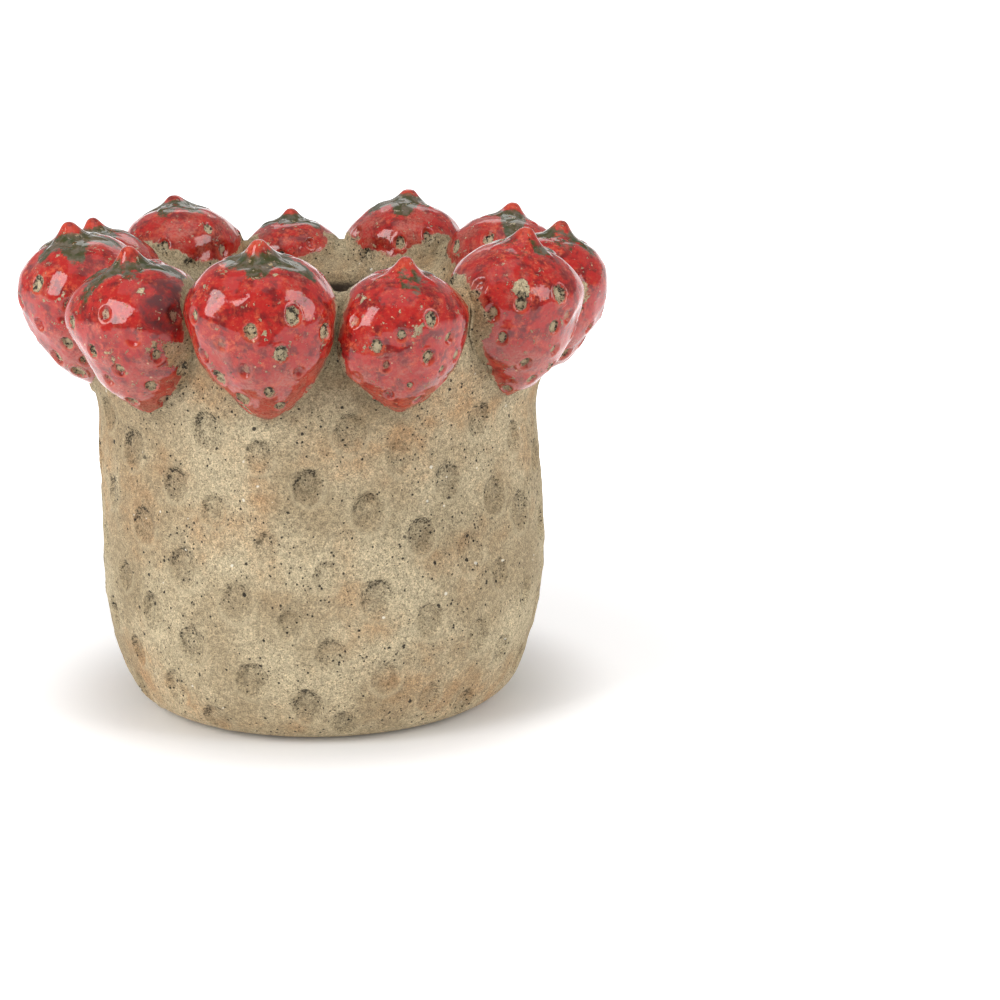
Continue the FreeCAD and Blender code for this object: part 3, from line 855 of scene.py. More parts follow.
@dataclass(frozen=True)
class StrawberryGlaze:
    """Glossy red glaze over clay, broken at the pits, the seat and the worn spots."""

    slot: Slot
    clay: SandyClay = SandyClay()
    red: Colour = paint(184, 27, 22)
    deep: Colour = paint(122, 15, 16)
    thin: Colour = paint(222, 98, 64)
    # Pale pink film of thin glaze and dust, also painted as a floor reflection on the berries' lower halves.
    veil: Colour = paint(190, 98, 82)
    scorch: Colour = paint(92, 36, 38)
    green: Colour = paint(36, 66, 24)
    grey_green: Colour = paint(92, 96, 78)
    bubble: Colour = paint(232, 190, 150)
    pit_edge: Cloud = Cloud(1.6, 3, 0.65, 0.4)
    pit_crumbs: Cloud = Cloud(1.1, 3, 0.65, 7.1)
    seat_edge: Cloud = Cloud(5.5, 5, 0.65, 1.3)
    wear: Cloud = Cloud(8.5, 5, 0.62, 2.6)
    crumbling: Cloud = Cloud(13, 3, 0.55, 5.2, 0.38, 0.56)
    chips: Cloud = Cloud(2.3, 4, 0.7, 6.9, 0.62, 0.66)
    rubbing: Cloud = Cloud(3.4, 5, 0.7, 7.9)
    mottle: Cloud = Cloud(4.5, 5, 0.65, 3.1)
    streaks: Cloud = Cloud(2.0, 4, 0.74, 4.2, 0.46, 0.68, 0.0, 0.9)
    streaked: Cloud = Cloud(9, 3, 0.6, 0.2, 0.4, 0.62, 0.25, 1.0)
    dust: Cloud = Cloud(8, 5, 0.68, 5.5)
    dust_grain: Cloud = Cloud(0.9, 3, 0.7, 6.6, 0.4, 0.6, 0.3, 1.0)
    smoke: Cloud = Cloud(3.0, 5, 0.7, 0.8, 0.38, 0.6, 0.35, 1.0)
    leaf_edge: Cloud = Cloud(2.6, 5, 0.7, 6.4)
    greying: Cloud = Cloud(3.6, 4, 0.65, 7.5, 0.44, 0.62)
    peel: Cloud = Cloud(3.0, 2, 0.5, 2.4)
    dark_dots: Specks = Specks(2.6, 0.42, 8.8, 0.16)
    pale_dots: Specks = Specks(3.0, 0.5, 9.9, 0.2)
    glossy: float = 0.07
    matt: float = 0.85
    index: float = 1.5
    relief: float = 0.3

    def make(self) -> Material:
        """The material of the berries, or of the leaf caps on them.

        Returns:
            The material.
        """
        w = SurfaceWires(self.slot.value)
        clearance, inner, dark_and_worn = w.triple("seat")
        dark_patch = w.most(dark_and_worn, 0.0)
        leaf, low, nub = w.triple("crown")
        u, v, tone = w.triple("mark")
        press = w.kept("press")
        q = w.line(w.noise(self.pit_edge), 0.8, w.minus(w.length(u, v), 0.4))

        # Where the glaze covers the clay
        ragged = w.minus(w.noise(self.seat_edge), 0.5)
        past_edge = w.minus(clearance, w.line(ragged, 6.0, w.line(inner, 4.6, 0.5)))
        lean = w.minus(q, w.ease(0.2, 0.9, tone, -0.22, 0.1))
        pitted = w.times(w.ease(0.76, 0.9, lean, 1.0, 0.0), w.times(press, w.ease(0.1, 0.3, tone)))
        worn = w.ease(0.66, 0.69, w.line(low, 0.02, w.noise(self.wear)))
        crumbly = w.times(w.patches(self.crumbling), w.patches(self.chips))
        # Wear only here: glaze worn bare by noise and by the worn spots.
        wear_and_lip_highlight = w.ease(1.22, 1.32, w.line(w.noise(self.rubbing), 1.6, w.times(dark_and_worn, -1.0)))
        bare = w.most(pitted, wear_and_lip_highlight, worn, crumbly)
        glazed = w.times(w.ease(-0.35, 0.35, past_edge), w.minus(1.0, bare))

        # The glaze and what lies in it
        mottle = w.noise(self.mottle)
        streaks = w.times(w.patches(self.streaks), w.patches(self.streaked))
        rim = w.times(w.ease(0.8, 1.0, q), w.ease(1.05, 1.4, q, 1.0, 0.0), press)
        rim = w.times(rim, w.ease(-0.8, 0.8, v, 0.4, 0.0))
        # Dust, more on each berry's inner side, with a painted floor reflection that spreads the pale pink
        # film over its lower half.
        dust_and_reflection = w.line(inner, 0.14, w.line(low, 0.2, w.noise(self.dust)))
        dust_and_reflection = w.times(w.ease(0.5, 0.76, dust_and_reflection), w.patches(self.dust_grain))
        faded = w.times(w.ease(0.0, 2.6, past_edge, 0.7, 0.0), w.ease(0.0, 1.0, inner, 1.0, 0.25))
        leafy = w.minus(w.noise(self.leaf_edge), 0.5)
        leafy = w.ease(0.26, 0.58, w.line(leafy, 1.9, leaf))
        green = w.blend(w.patches(self.greying), self.green, self.grey_green)
        red = w.coats(
            w.blend(w.ease(0.38, 0.55, mottle), self.deep, self.red),
            (streaks, self.thin),
            (rim, self.thin),
            # Pale pink film: thin glaze at the seat and dust, with painted floor reflection.
            (w.most(dust_and_reflection, faded), self.veil),
            # Mottled dark maroon patch on one side shoulder, also rougher.
            (w.times(dark_patch, w.patches(self.smoke)), self.scorch),
            (w.times(leafy, 0.9), green),
            (w.times(nub, w.ease(0.35, 0.65, mottle, 0.05, 0.45)), self.thin),
            (w.times(w.specks(self.dark_dots), 0.85), self.clay.pore),
            (w.times(w.specks(self.pale_dots), 0.7), self.bubble),
        )

        # The clay where it shows
        # Painted shade with grit in the pits: darker towards each pit's edge and most at its upper side,
        # with more dark crumbs there.
        pit_dirt_and_shade = w.times(w.ease(0.1, 0.6, q, 0.15, 1.0), press, w.ease(-0.9, 0.6, v, 0.45, 1.0))
        clay, grain = self.clay.colour(w, w.times(pit_dirt_and_shade, 0.3))
        crumbs = w.line(pit_dirt_and_shade, -0.13, 0.61)
        crumbs = w.ease(crumbs, w.math("ADD", crumbs, 0.05), w.noise(self.pit_crumbs), 0.0, 0.92)
        cleaned = w.times(w.ease(0.25, 0.65, q, 0.6, 0.0), press)
        clay = w.coats(clay, (cleaned, self.clay.pale), (w.times(crumbs, press), self.clay.pore))

        matted = w.line(dark_patch, 0.35, w.ease(0.45, 0.7, mottle, self.glossy, 0.13))
        peel = w.times(w.noise(self.peel), 0.35)
        height = w.math("ADD", w.line(glazed, 0.9, peel), w.times(grain, w.minus(1.0, glazed)))
        finish = {
            "Base Color": w.blend(glazed, clay, red),
            "Roughness": w.line(glazed, w.minus(matted, self.matt), self.matt),
            "IOR": self.index,
            "Normal": w.bump(height, self.relief),
        }
        w.put(w.shader, finish)
        return w.material


@dataclass
class BerryForm:
    """The outline of a full-size berry: tip, flank, shoulder and crown, in millimetres."""

    width: float = 42.6
    waist: float = 34.6
    flat: float = 5.9
    tip: float = 6.5
    shoulder: float = 15.0
    crown_draw: float = 3.2
    crown_reach: float = 9.5
    nub_height: float = 4.8
    nub_radius: float = 4.5
    nub_power: float = 2.7
    step: float = 0.2

    def __post_init__(self) -> None:
        """Draws the outline and measures round it."""
        half = self.width / 2
        crown = half - self.flat
        self.length = self.waist + crown
        flank = (half**2 + (self.waist - self.tip) ** 2 - self.tip**2) / (2 * (half - self.tip))
        inset = half - self.shoulder
        dome = (self.shoulder**2 - inset**2 - crown**2) / (2 * (self.shoulder - crown))
        tip_centre, flank_centre = (0.0, self.tip), (half - flank, self.waist)
        shoulder_centre, dome_centre = (inset, self.waist), (0.0, self.length - dome)
        tip_turn = bearing(flank_centre, tip_centre)
        crown_turn = bearing(dome_centre, shoulder_centre)
        line = np.concatenate(
            [
                arc(tip_centre, self.tip, -math.pi / 2, tip_turn, self.step),
                arc(flank_centre, flank, tip_turn, 0.0, self.step),
                arc(shoulder_centre, self.shoulder, 0.0, crown_turn, self.step),
                arc(dome_centre, dome, crown_turn, math.pi / 2, self.step),
                [(0.0, self.length)],
            ]
        )
        line[0, 0] = 0.0
        drawn = self.crown_draw * np.exp(-((line[:, 0] / self.crown_reach) ** 2))
        line[:, 1] += ease(self.waist, self.length, line[:, 1]) * drawn
        self.line, self.run = line, running(line)
        self.out = outward(np.gradient(line, axis=0))
        self.out[0], self.out[-1] = (0.0, -1.0), (0.0, 1.0)
        ring = np.concatenate([line[::4], [[0.0, line[-1, 1]]]])
        self.distance = DistanceMap(ring, (0.0, -25.0), (60.0, 85.0))

    def along(self, share: Values) -> tuple[Values, Values]:
        """Places and outward directions along the outline.

        Args:
            share: Shares of the way from the tip to the crown.

        Returns:
            Points and directions, each as distance from the axis and height.
        """
        run = share * self.run[-1]
        out = read_line(run, self.run, self.out)
        return read_line(run, self.run, self.line), out / np.hypot(*out.T)[:, None]


@dataclass
class BerrySeat:
    """Where one berry stands on the rim."""

    index: int
    turn: float
    share: float
    foot: Values
    lean: float
    form: BerryForm

    def __post_init__(self) -> None:
        """Works out the berry's number in names, its half width and its own axes."""
        self.number = f"{self.index + 1:02d}"
        self.half = self.form.width / 2 * self.share
        turn, lean = math.radians(self.turn), math.radians(self.lean)
        c, s = math.cos(turn), math.sin(turn)
        spin = np.array([[c, -s, 0.0], [s, c, 0.0], [0.0, 0.0, 1.0]])
        c, s = math.cos(lean), math.sin(lean)
        self.axes = spin @ np.array([[c, 0.0, s], [0.0, 1.0, 0.0], [-s, 0.0, c]])
        self.place = spin @ self.foot

    def outside(self, points: Values) -> Values:
        """Points of the berry's own frame, set on the rim."""
        return points @ self.axes.T + self.place

    def distance(self, points: Values) -> Values:
        """Distances in millimetres of points of the pot's frame from the berry, negative inside it."""
        own = (points - self.place) @ self.axes / self.share
        return self.form.distance.at(off_axis(own), own[:, 2]) * self.share


@dataclass
class ThrownPot:
    """The turned clay pot with its pressed wall, and the clay worked up round the berries."""

    belly_radius: float = 80.0
    belly_height: float = 52.0
    foot_radius: float = 57.0
    foot_corner: float = 16.0
    neck_radius: float = 77.5
    neck_height: float = 104.0
    flare_radius: float = 25.0
    rim_radius: float = 78.5
    rim_height: float = 156.0
    lip_radius: float = 9.0
    funnel_slope: float = 38.5
    throat_radius: float = 60.5
    throat_land: float = 5.0
    undercut_height: float = 14.0
    wall: float = 9.5
    floor: float = 11.0
    inner_corner: float = 14.0
    drain_radius: float = 7.0
    columns: int = 440
    rounding: float = 1.1
    sways: tuple[tuple[float, float, Seed], ...] = ((0.75, 62.0, Seed.SWAY), (0.22, 13.0, Seed.RIPPLE))
    steady: Point = (3.0, 14.0)
    inner_calm: float = 0.6
    measured_from: float = 60.0
    worked_from: float = 96.0
    far_off: float = 60.0
    web: float = 3.0
    tip_web: float = 1.8
    web_rise: Point = (117.0, 134.0)
    web_sway: float = 0.22
    web_length: float = 11.0
    passes: int = 14
    between: float = 3.0
    valley: float = 3.6
    valley_rise: Point = (114.0, 132.0)
    dimples: MarkPattern = MarkPattern(
        rows=12, per_row=10, low_height=8.0, high_height=110.0, first_turn=math.radians(12.5),
        row_shift=0.36, stray_turn=math.radians(2.2), stray_height=1.6, reach=160.0, half_width=5.0,
        half_length=6.3, depth=1.75, lip=0.34, grain=0.8, uneven=0.28, seed=Seed.DIMPLES,
    )

    def __post_init__(self) -> None:
        """Works out the outline's arcs and measures round the filled rim."""
        run = self.belly_radius - self.foot_radius
        rise = self.belly_height - self.foot_corner
        self.lower = (run**2 + rise**2 - self.foot_corner**2) / (2 * (run - self.foot_corner))
        self.lower_centre = (self.belly_radius - self.lower, self.belly_height)
        self.corner_centre = (self.foot_radius, self.foot_corner)
        inset = self.belly_radius - self.neck_radius
        rise = self.neck_height - self.belly_height
        self.upper = (inset**2 + rise**2) / (2 * inset)
        self.upper_centre = (self.belly_radius - self.upper, self.belly_height)
        self.neck_turn = math.asin(rise / self.upper)
        self.flare_centre = spot(self.upper_centre, self.upper + self.flare_radius, self.neck_turn)
        self.lip_centre = (self.rim_radius, self.rim_height - self.lip_radius)
        share = (self.flare_radius + self.lip_radius) / math.dist(self.flare_centre, self.lip_centre)
        self.lean = -bearing(self.lip_centre, self.flare_centre) - math.acos(share)
        self.flare_end = spot(self.flare_centre, self.flare_radius, math.pi - self.lean)
        self.funnel_turn = math.radians(90 + self.funnel_slope)
        self.lip_end = spot(self.lip_centre, self.lip_radius, self.funnel_turn)
        fall = (self.lip_end[0] - self.throat_radius) * math.tan(math.radians(self.funnel_slope))
        self.throat = (self.throat_radius, self.lip_end[1] - fall)
        self.runs = self.draw_runs()
        outer = [points for zone, points in self.runs if zone in (Zone.WALL, Zone.FUNNEL)]
        ring = np.concatenate([*outer, [self.throat]])
        ring = ring[ring[:, 1] > self.measured_from][::3]
        ring = np.concatenate([ring, [(0.0, self.throat[1]), (0.0, self.measured_from)]])
        self.distance = DistanceMap(ring, (30.0, 62.0), (130.0, 190.0))

    def draw_runs(self) -> list[tuple[Zone, Values]]:
        """Draws the closed outline, from the drain out along the foot and back down inside.

        Returns:
            Each stretch with its zone.
        """
        corner_end = bearing(self.lower_centre, self.corner_centre)
        land_end = (self.throat_radius, self.throat[1] - self.throat_land)
        inner_upper, inner_lower = self.upper - self.wall, self.lower - self.wall
        undercut_rise = land_end[1] - self.undercut_height - self.upper_centre[1]
        undercut_turn = math.asin(undercut_rise / inner_upper)
        undercut_end = spot(self.upper_centre, inner_upper, undercut_turn)
        bend_level = self.floor + self.inner_corner
        bend_reach = inner_lower - self.inner_corner
        bend_run = math.sqrt(bend_reach**2 - (self.lower_centre[1] - bend_level) ** 2)
        bend_centre = (self.lower_centre[0] + bend_run, bend_level)
        bend_turn = bearing(self.lower_centre, bend_centre)
        drain_top, drain_end = (self.drain_radius, self.floor), (self.drain_radius, 0.0)
        neck_end = self.neck_turn + math.pi
        lip_start = spot(self.lip_centre, self.lip_radius, -self.lean)
        return [
            (Zone.UNSEEN, straight(drain_end, (self.foot_radius, 0.0))),
            (Zone.WALL, arc(self.corner_centre, self.foot_corner, -math.pi / 2, corner_end)),
            (Zone.WALL, arc(self.lower_centre, self.lower, corner_end, 0.0)),
            (Zone.WALL, arc(self.upper_centre, self.upper, 0.0, self.neck_turn)),
            (Zone.WALL, arc(self.flare_centre, self.flare_radius, neck_end, math.pi - self.lean)),
            (Zone.WALL, straight(self.flare_end, lip_start)),
            (Zone.WALL, arc(self.lip_centre, self.lip_radius, -self.lean, self.funnel_turn)),
            (Zone.FUNNEL, straight(self.lip_end, self.throat)),
            (Zone.LAND, straight(self.throat, land_end)),
            (Zone.UNSEEN, straight(land_end, undercut_end)),
            (Zone.UNSEEN, arc(self.upper_centre, inner_upper, undercut_turn, 0.0)),
            (Zone.UNSEEN, arc(self.lower_centre, inner_lower, 0.0, bend_turn)),
            (Zone.UNSEEN, arc(bend_centre, self.inner_corner, bend_turn, -math.pi / 2)),
            (Zone.FLOOR, straight((bend_centre[0], self.floor), drain_top)),
            (Zone.DRAIN, straight(drain_top, drain_end)),
        ]

    def wall_at(self, height: float) -> float:
        """Radius of the outer wall above the neck.

        Args:
            height: Height in millimetres.

        Returns:
            The radius in millimetres.
        """
        if height < self.flare_end[1]:
            drop = height - self.flare_centre[1]
            return self.flare_centre[0] - math.sqrt(self.flare_radius**2 - drop**2)
        return self.flare_end[0] + (height - self.flare_end[1]) * math.tan(self.lean)

    def rows(self) -> tuple[Values, Values, Values]:
        """The rows of the mesh along the outline.

        Returns:
            Places, outward directions, and how far inside each row is, from 0 to 1.
        """
        line = smooth_ring(np.concatenate([points for _, points in self.runs]), self.rounding)
        line[:, 1] = np.maximum(line[:, 1], 0.0)
        counts = [len(points) for _, points in self.runs]
        hidden = [float(zone in (Zone.UNSEEN, Zone.FLOOR, Zone.DRAIN)) for zone, _ in self.runs]
        closed = np.concatenate([line, line[:1]])
        paid = running(closed, np.repeat([zone.value for zone, _ in self.runs], counts))
        marks = np.linspace(0.0, paid[-1], int(round(paid[-1])), endpoint=False)
        place = read_line(marks, paid, closed)
        inside = np.interp(marks, paid, np.append(np.repeat(hidden, counts), hidden[0]))
        return place, outward(np.roll(place, -1, axis=0) - np.roll(place, 1, axis=0)), inside

    def climb(self, points: Values, out: Values, seats: list[BerrySeat]) -> Values:
        """How far the clay is worked up from the wall round the berries.

        Args:
            points: Points of the wall and rim.
            out: Outward directions there.
            seats: The berries' places.

        Returns:
            The rise along each direction in millimetres.
        """
        web = self.tip_web + (self.web - self.tip_web) * ease(*self.web_rise, points[:, 2])
        web = web * (1.0 + self.web_sway * HandNoise(self.web_length, Seed.WEB).at(points))
        rise = np.zeros(len(points))
        for _ in range(self.passes):
            moved = points + rise[:, None] * out
            gaps = np.sort(np.stack([seat.distance(moved) for seat in seats]), axis=0)
            berries = soft_min(gaps[0], gaps[1], self.between)
            rise = np.clip(rise - soft_min(rise, berries, web), 0.0, 0.5 * web)
        return rise

    def build(self, seats: list[BerrySeat], marks: PressedMarks, clay: Material) -> Piece:
        """Builds the pot.

        Args:
            seats: The berries' places.
            marks: The tree that presses the dimples.
            clay: The pot's finish.

        Returns:
            The pot's object.
        """
        place, out, spare = self.rows()
        rows, columns = len(place), self.columns
        turns = np.tile(even_turns(columns), rows)
        points = turned(np.repeat(place, columns, axis=0), turns)
        ways = turned(np.repeat(out, columns, axis=0), turns)
        inside = np.repeat(spare, columns)
        loose = ease(*self.steady, points[:, 2]) * (1.0 - self.inner_calm * inside)
        uneven = sum(height * HandNoise(length, seed).at(points) for height, length, seed in self.sways)
        worked = (points[:, 2] > self.worked_from) & (inside < 0.5)
        steep = np.clip(np.repeat(out[:, 0], columns), 0.0, 1.0) ** 2
        hollow = self.valley * ease(*self.valley_rise, points[:, 2]) * steep * (1.0 - inside)
        points -= ways * hollow[:, None]
        rise = np.zeros(len(points))
        rise[worked] = self.climb(points[worked], ways[worked], seats)
        points += ways * (uneven * loose + rise)[:, None]
        near = np.full(len(points), self.far_off)
        gaps = np.stack([seat.distance(points[worked]) for seat in seats]).min(axis=0)
        near[worked] = np.clip(gaps, 0.0, self.far_off)
        first = np.arange(rows * columns).reshape(rows, columns)
        mesh = grid_mesh("thrown_pot", points, bands(np.concatenate([first, first[:1]])))
        add_values(mesh, "inside", inside)
        add_values(mesh, "near", near)
        mesh = marks.press(mesh, self.dimples, clay)
        return add_piece("thrown_pot", mesh, Slot.CLAY, "pot_body", "luting_slip")


@dataclass
class BerryRing:
    """The moulded berries round the rim and their leaf caps."""

    box: Values
    pot: ThrownPot
    form: BerryForm = field(default_factory=BerryForm)
    overhang: float = 3.6
    stand: float = 8.5
    tip_bed: float = 2.4
    first_turn: float = -71.5
    nudges: tuple[float, ...] = (0.0, -1.5, -1.5, -3.0, -2.0, 0.0, 2.0, 3.0, 1.5, 0.5, 0.0)
    shares: tuple[float, ...] = (1.03, 1.0, 1.05, 0.93, 1.03, 0.98, 1.02, 1.06, 0.92, 1.07, 0.96)
    drops: tuple[float, ...] = (0.0, 2.8, 0.6, 0.0, 0.0, 0.0, 0.0, 0.0, 0.0, 0.0, 0.0)
    nub_lifts: tuple[float, ...] = (0.6, 0.3, 0.6, 0.0, 0.0, 0.0, 0.0, -0.4, -0.2, -1.3, 0.6)
    bared: tuple[float, ...] = (1.0, 1.0, 1.0, 1.0, 1.0, 1.0, 0.8, 1.0, 0.4, 0.9, 0.8)
    dark_sides: tuple[float, ...] = (0.0, 1.0, 0.0, 0.0, 0.0, 0.0, 0.6, 0.0, 0.0, 0.0, 0.6)
    leafing: tuple[float, ...] = (1.2, 1.0, 1.1, 0.5, 0.7, 1.1, 1.1, 1.5, 1.3, 1.5, 1.3)
    swellings: Spots = (
        (1, 0.35, 0.95, 1.7, 1.8),
        (1, 0.6, -0.7, 1.85, 1.8),
        (2, 0.4, -0.7, 1.95, 2.0),
        (3, 0.3, -0.85, 1.15, 2.2),
        (4, -0.1, -1.0, 1.5, 1.4),
    )
    worn_spots: Spots = (
        (0, 0.05, 0.95, 1.5, 0.42),
        (1, 0.1, 1.0, 1.3, 0.45),
        (3, 0.0, -1.0, 1.1, 0.4),
        (3, 0.8, -0.1, 1.8, 0.26),
        (4, 0.5, -0.75, 1.95, 0.2),
        (4, -0.16, -0.98, 1.35, 0.5),
        (5, 0.3, -0.95, 1.6, 0.36),
    )
    flank: float = 1.7
    brow: float = 1.1
    bed: float = 2.5
    bed_passes: int = 6
    columns: int = 176
    rings: int = 124
    lump: float = 0.8
    lump_length: float = 19.0
    fine_length: float = 8.0
    dark_heart: tuple[float, float, float] = (0.1, 1.05, 1.9)
    burn_size: float = 0.55
    dark_ragged: float = 0.16
    dark_length: float = 9.0
    neighbour_gap: float = 1.2
    pit_roll: float = 1.9
    pits: MarkPattern = MarkPattern(
        rows=40, per_row=1, low_height=5.0, high_height=42.0, first_turn=0.0, row_shift=0.381966,
        stray_turn=0.16, stray_height=0.9, reach=60.0, half_width=2.2, half_length=2.85, depth=1.5,
        lip=0.3, grain=0.25, uneven=0.35, seed=Seed.PITS,
    )
    sepals: int = 6
    sepal_reach: float = 15.5
    sepal_root: float = 8.5
    sepal_roll: float = 23.0
    sepal_point: float = 1.4
    stroke_width: float = 6.0
    cap_rings: int = 30
    cap_columns: int = 108
    cap_thickness: float = 1.2
    cap_lift: float = 0.5
    cap_tuck: float = 0.45
    cap_rib: float = 0.16
    no_mark: tuple[float, float, float] = (9.0, 9.0, 0.5)

    def __post_init__(self) -> None:
        """Works out where the berries stand on the pot's rim."""
        level = self.pot.rim_height + self.stand - self.form.length
        reach = self.pot.wall_at(level) - self.tip_bed
        run = self.pot.rim_radius + self.overhang - reach
        lean = math.degrees(math.atan2(run, self.pot.lip_centre[1] - level))
        pitch = 360 / len(self.shares)
        self.seats: list[BerrySeat] = []
        for index, (nudge, share, drop) in enumerate(zip(self.nudges, self.shares, self.drops)):
            turn = FRONT + self.first_turn + index * pitch + nudge
            foot = np.array([reach, 0.0, level - drop])
            self.seats.append(BerrySeat(index, turn, share, foot, lean, self.form))

    def lumps(self, seat: BerrySeat, points: Values) -> Values:
        """How far the hand-pressed skin lies off the even outline.

        Args:
            seat: The berry's place.
            points: Points of the even outline in the berry's own frame.

        Returns:
            The distances in millimetres: below the outline, but for the flanks, brow and swellings.
        """
        broad = HandNoise(self.lump_length, Seed.LUMPS + seat.index).at(points)
        small = HandNoise(self.fine_length, Seed.FINE_LUMPS + seat.index).at(points)
        skin = -0.15 - self.lump * (0.55 - 0.45 * broad - 0.17 * small).clip(0.0, 1.6)
        own = points / seat.half
        side, up = ease(0.35, 1.0, np.abs(own[:, 1])), own[:, 2]
        skin = skin + self.flank * side * ease(0.3, 0.9, up) * (1.0 - ease(1.55, 2.15, up))
        skin = skin + self.brow * (ease(0.2, 0.6, off_axis(own)) * ease(1.5, 1.9, up))
        for index, *heart, rise in self.swellings:
            if index == seat.index:
                skin = skin + rise * (1.0 - ease(0.1, 0.8, np.linalg.norm(own - heart, axis=1)))
        return skin

    def skin(self, seat: BerrySeat, share: Values, turns: Values) -> tuple[Values, Values]:
        """The berry's skin in its own frame.

        Args:
            seat: The berry's place.
            share: Shares of the way from the tip to the crown.
            turns: Angles round the axis in radians.

        Returns:
            Points and outward directions in millimetres.
        """
        place, out = self.form.along(share)
        points, ways = turned(place, turns) * seat.share, turned(out, turns)
        return points + ways * self.lumps(seat, points)[:, None], ways

    def crown_values(self, seat: BerrySeat, points: Values) -> Values:
        """What the finish has to know of a point's place between tip and crown.

        Args:
            seat: The berry's place.
            points: Points in the berry's own frame in millimetres.

        Returns:
            Leaf stroke, lower half and nub, each from 0 to 1, for each point.
        """
        draw = np.random.default_rng(Seed.LEAVES + seat.index)
        radius, height = off_axis(points) / seat.share, points[:, 2] / seat.share
        turns = np.arctan2(points[:, 1], points[:, 0])
        cover = np.zeros(len(points))
        pitch = FULL_TURN / self.sepals
        for sepal in range(self.sepals):
            middle = math.radians(seat.index * self.sepal_roll) + (sepal + 0.5) * pitch
            middle += draw.uniform(-0.2, 0.2)
            reach = self.sepal_reach * draw.uniform(0.7, 1.4)
            strength = self.leafing[seat.index] * draw.uniform(0.35, 1.0)
            off = np.abs((turns - middle + math.pi) % FULL_TURN - math.pi) * radius
            width = self.stroke_width * ease(1.5, 6.5, radius) * (1.0 - 0.5 * ease(7.0, reach, radius))
            stroke = 1.0 - ease(0.4, 1.25, off / np.maximum(width, 0.3))
            stroke *= 1.0 - ease(0.7 * reach, 1.1 * reach, radius)
            cover = np.maximum(cover, strength * stroke)
        nub = 1.0 - ease(2.4, 5.2, radius)
        top = ease(self.form.waist, self.form.waist + 6.0, height)
        low = 1.0 - ease(10.0, self.form.waist, height)
        return np.stack([cover * (1.0 - nub) * top, low, nub * top], axis=1)

    def seat_values(self, seat: BerrySeat, own: Values) -> Values:
        """What the finish has to know of the berry's seat.

        Args:
            seat: The berry's place.
            own: Points in the berry's own frame in millimetres.

        Returns:
            Clearance in millimetres, inner side, and dark side patches (up to 1) or worn (down to -1) spots.
        """
        points = seat.outside(own)
        clearance = self.pot.distance.at(off_axis(points), points[:, 2])
        for step in (-1, 1):
            neighbour = self.seats[(seat.index + step) % len(self.seats)]
            clearance = np.minimum(clearance, self.neighbour_gap * neighbour.distance(points))
        inner = ease(0.1, 0.85, -own[:, 0] / seat.half) * self.bared[seat.index]
        # A dark maroon patch high on one side shoulder of some berries, then the worn spots.
        side = self.dark_sides[seat.index]
        dark_and_worn = np.zeros(len(own))
        if side:
            heart = np.array(self.dark_heart) * seat.half * (1.0, math.copysign(1.0, side), 1.0)
            away = np.linalg.norm((own - heart) / (self.burn_size * seat.half * abs(side)), axis=1)
            away += self.dark_ragged * HandNoise(self.dark_length, Seed.BURNS + seat.index).at(own)
            dark_and_worn = 1.0 - ease(0.75, 1.1, away)
        for index, *heart, size in self.worn_spots:
            if index == seat.index:
                away = np.linalg.norm(own / seat.half - heart, axis=1) / size
                dark_and_worn = dark_and_worn - (1.0 - ease(0.2, 1.3, away))
        return np.stack([clearance, inner, dark_and_worn], axis=1)

    def add_seat(self, mesh: Mesh, seat: BerrySeat, own: Values) -> None:
        """Keeps what the finish has to know of points in the berry's own frame."""
        add_values(mesh, "crown", self.crown_values(seat, own))
        add_values(mesh, "seat", self.seat_values(seat, own))

    def build_berry(self, seat: BerrySeat, marks: PressedMarks, glaze: Material) -> Piece:
        """Builds one berry.

        Args:
            seat: The berry's place.
            marks: The tree that presses the seed pits.
            glaze: The berry's finish.

        Returns:
            The berry's object.
        """
        count, rings = self.columns, self.rings
        shares = np.linspace(0.0, 1.0, rings + 2)
        body, _ = self.skin(seat, np.repeat(shares[1:-1], count), np.tile(even_turns(count), rings))
        ends, _ = self.skin(seat, shares[[0, -1]], np.zeros(2))
        points = np.concatenate([ends[:1], body, ends[1:]])
        rows = 1 + np.arange(rings * count).reshape(rings, count)
        name = "strawberry_" + seat.number
        mesh = grid_mesh(name, points, closed_skin(rows, 0, len(points) - 1))
        pits = replace(self.pits, first_turn=self.pit_roll * seat.index, seed=self.pits.seed + seat.index)
        mesh = marks.press(mesh, pits, glaze, seat.share)
        own = read_points(mesh)
        self.add_seat(mesh, seat, own)
        write_points(mesh, within(self.bed_down(seat.outside(own)), self.box))
        return add_piece(name, mesh, Slot.BERRY, "berry_" + seat.number)

    def bed_down(self, points: Values) -> Values:
        """Holds the hidden part of a berry just under the pot's skin.

        Args:
            points: Points of the berry in the pot's frame.

        Returns:
            The points, none of them deeper than the bed.
        """
        radius, height = off_axis(points), points[:, 2].copy()
        for _ in range(self.bed_passes):
            push = np.maximum(-self.bed - self.pot.distance.at(radius, height), 0.0)
            out, up = self.pot.distance.slope(radius, height)
            radius, height = radius + push * out, height + push * up
        share = radius / np.maximum(off_axis(points), 1e-6)
        return np.stack([points[:, 0] * share, points[:, 1] * share, height], axis=1)

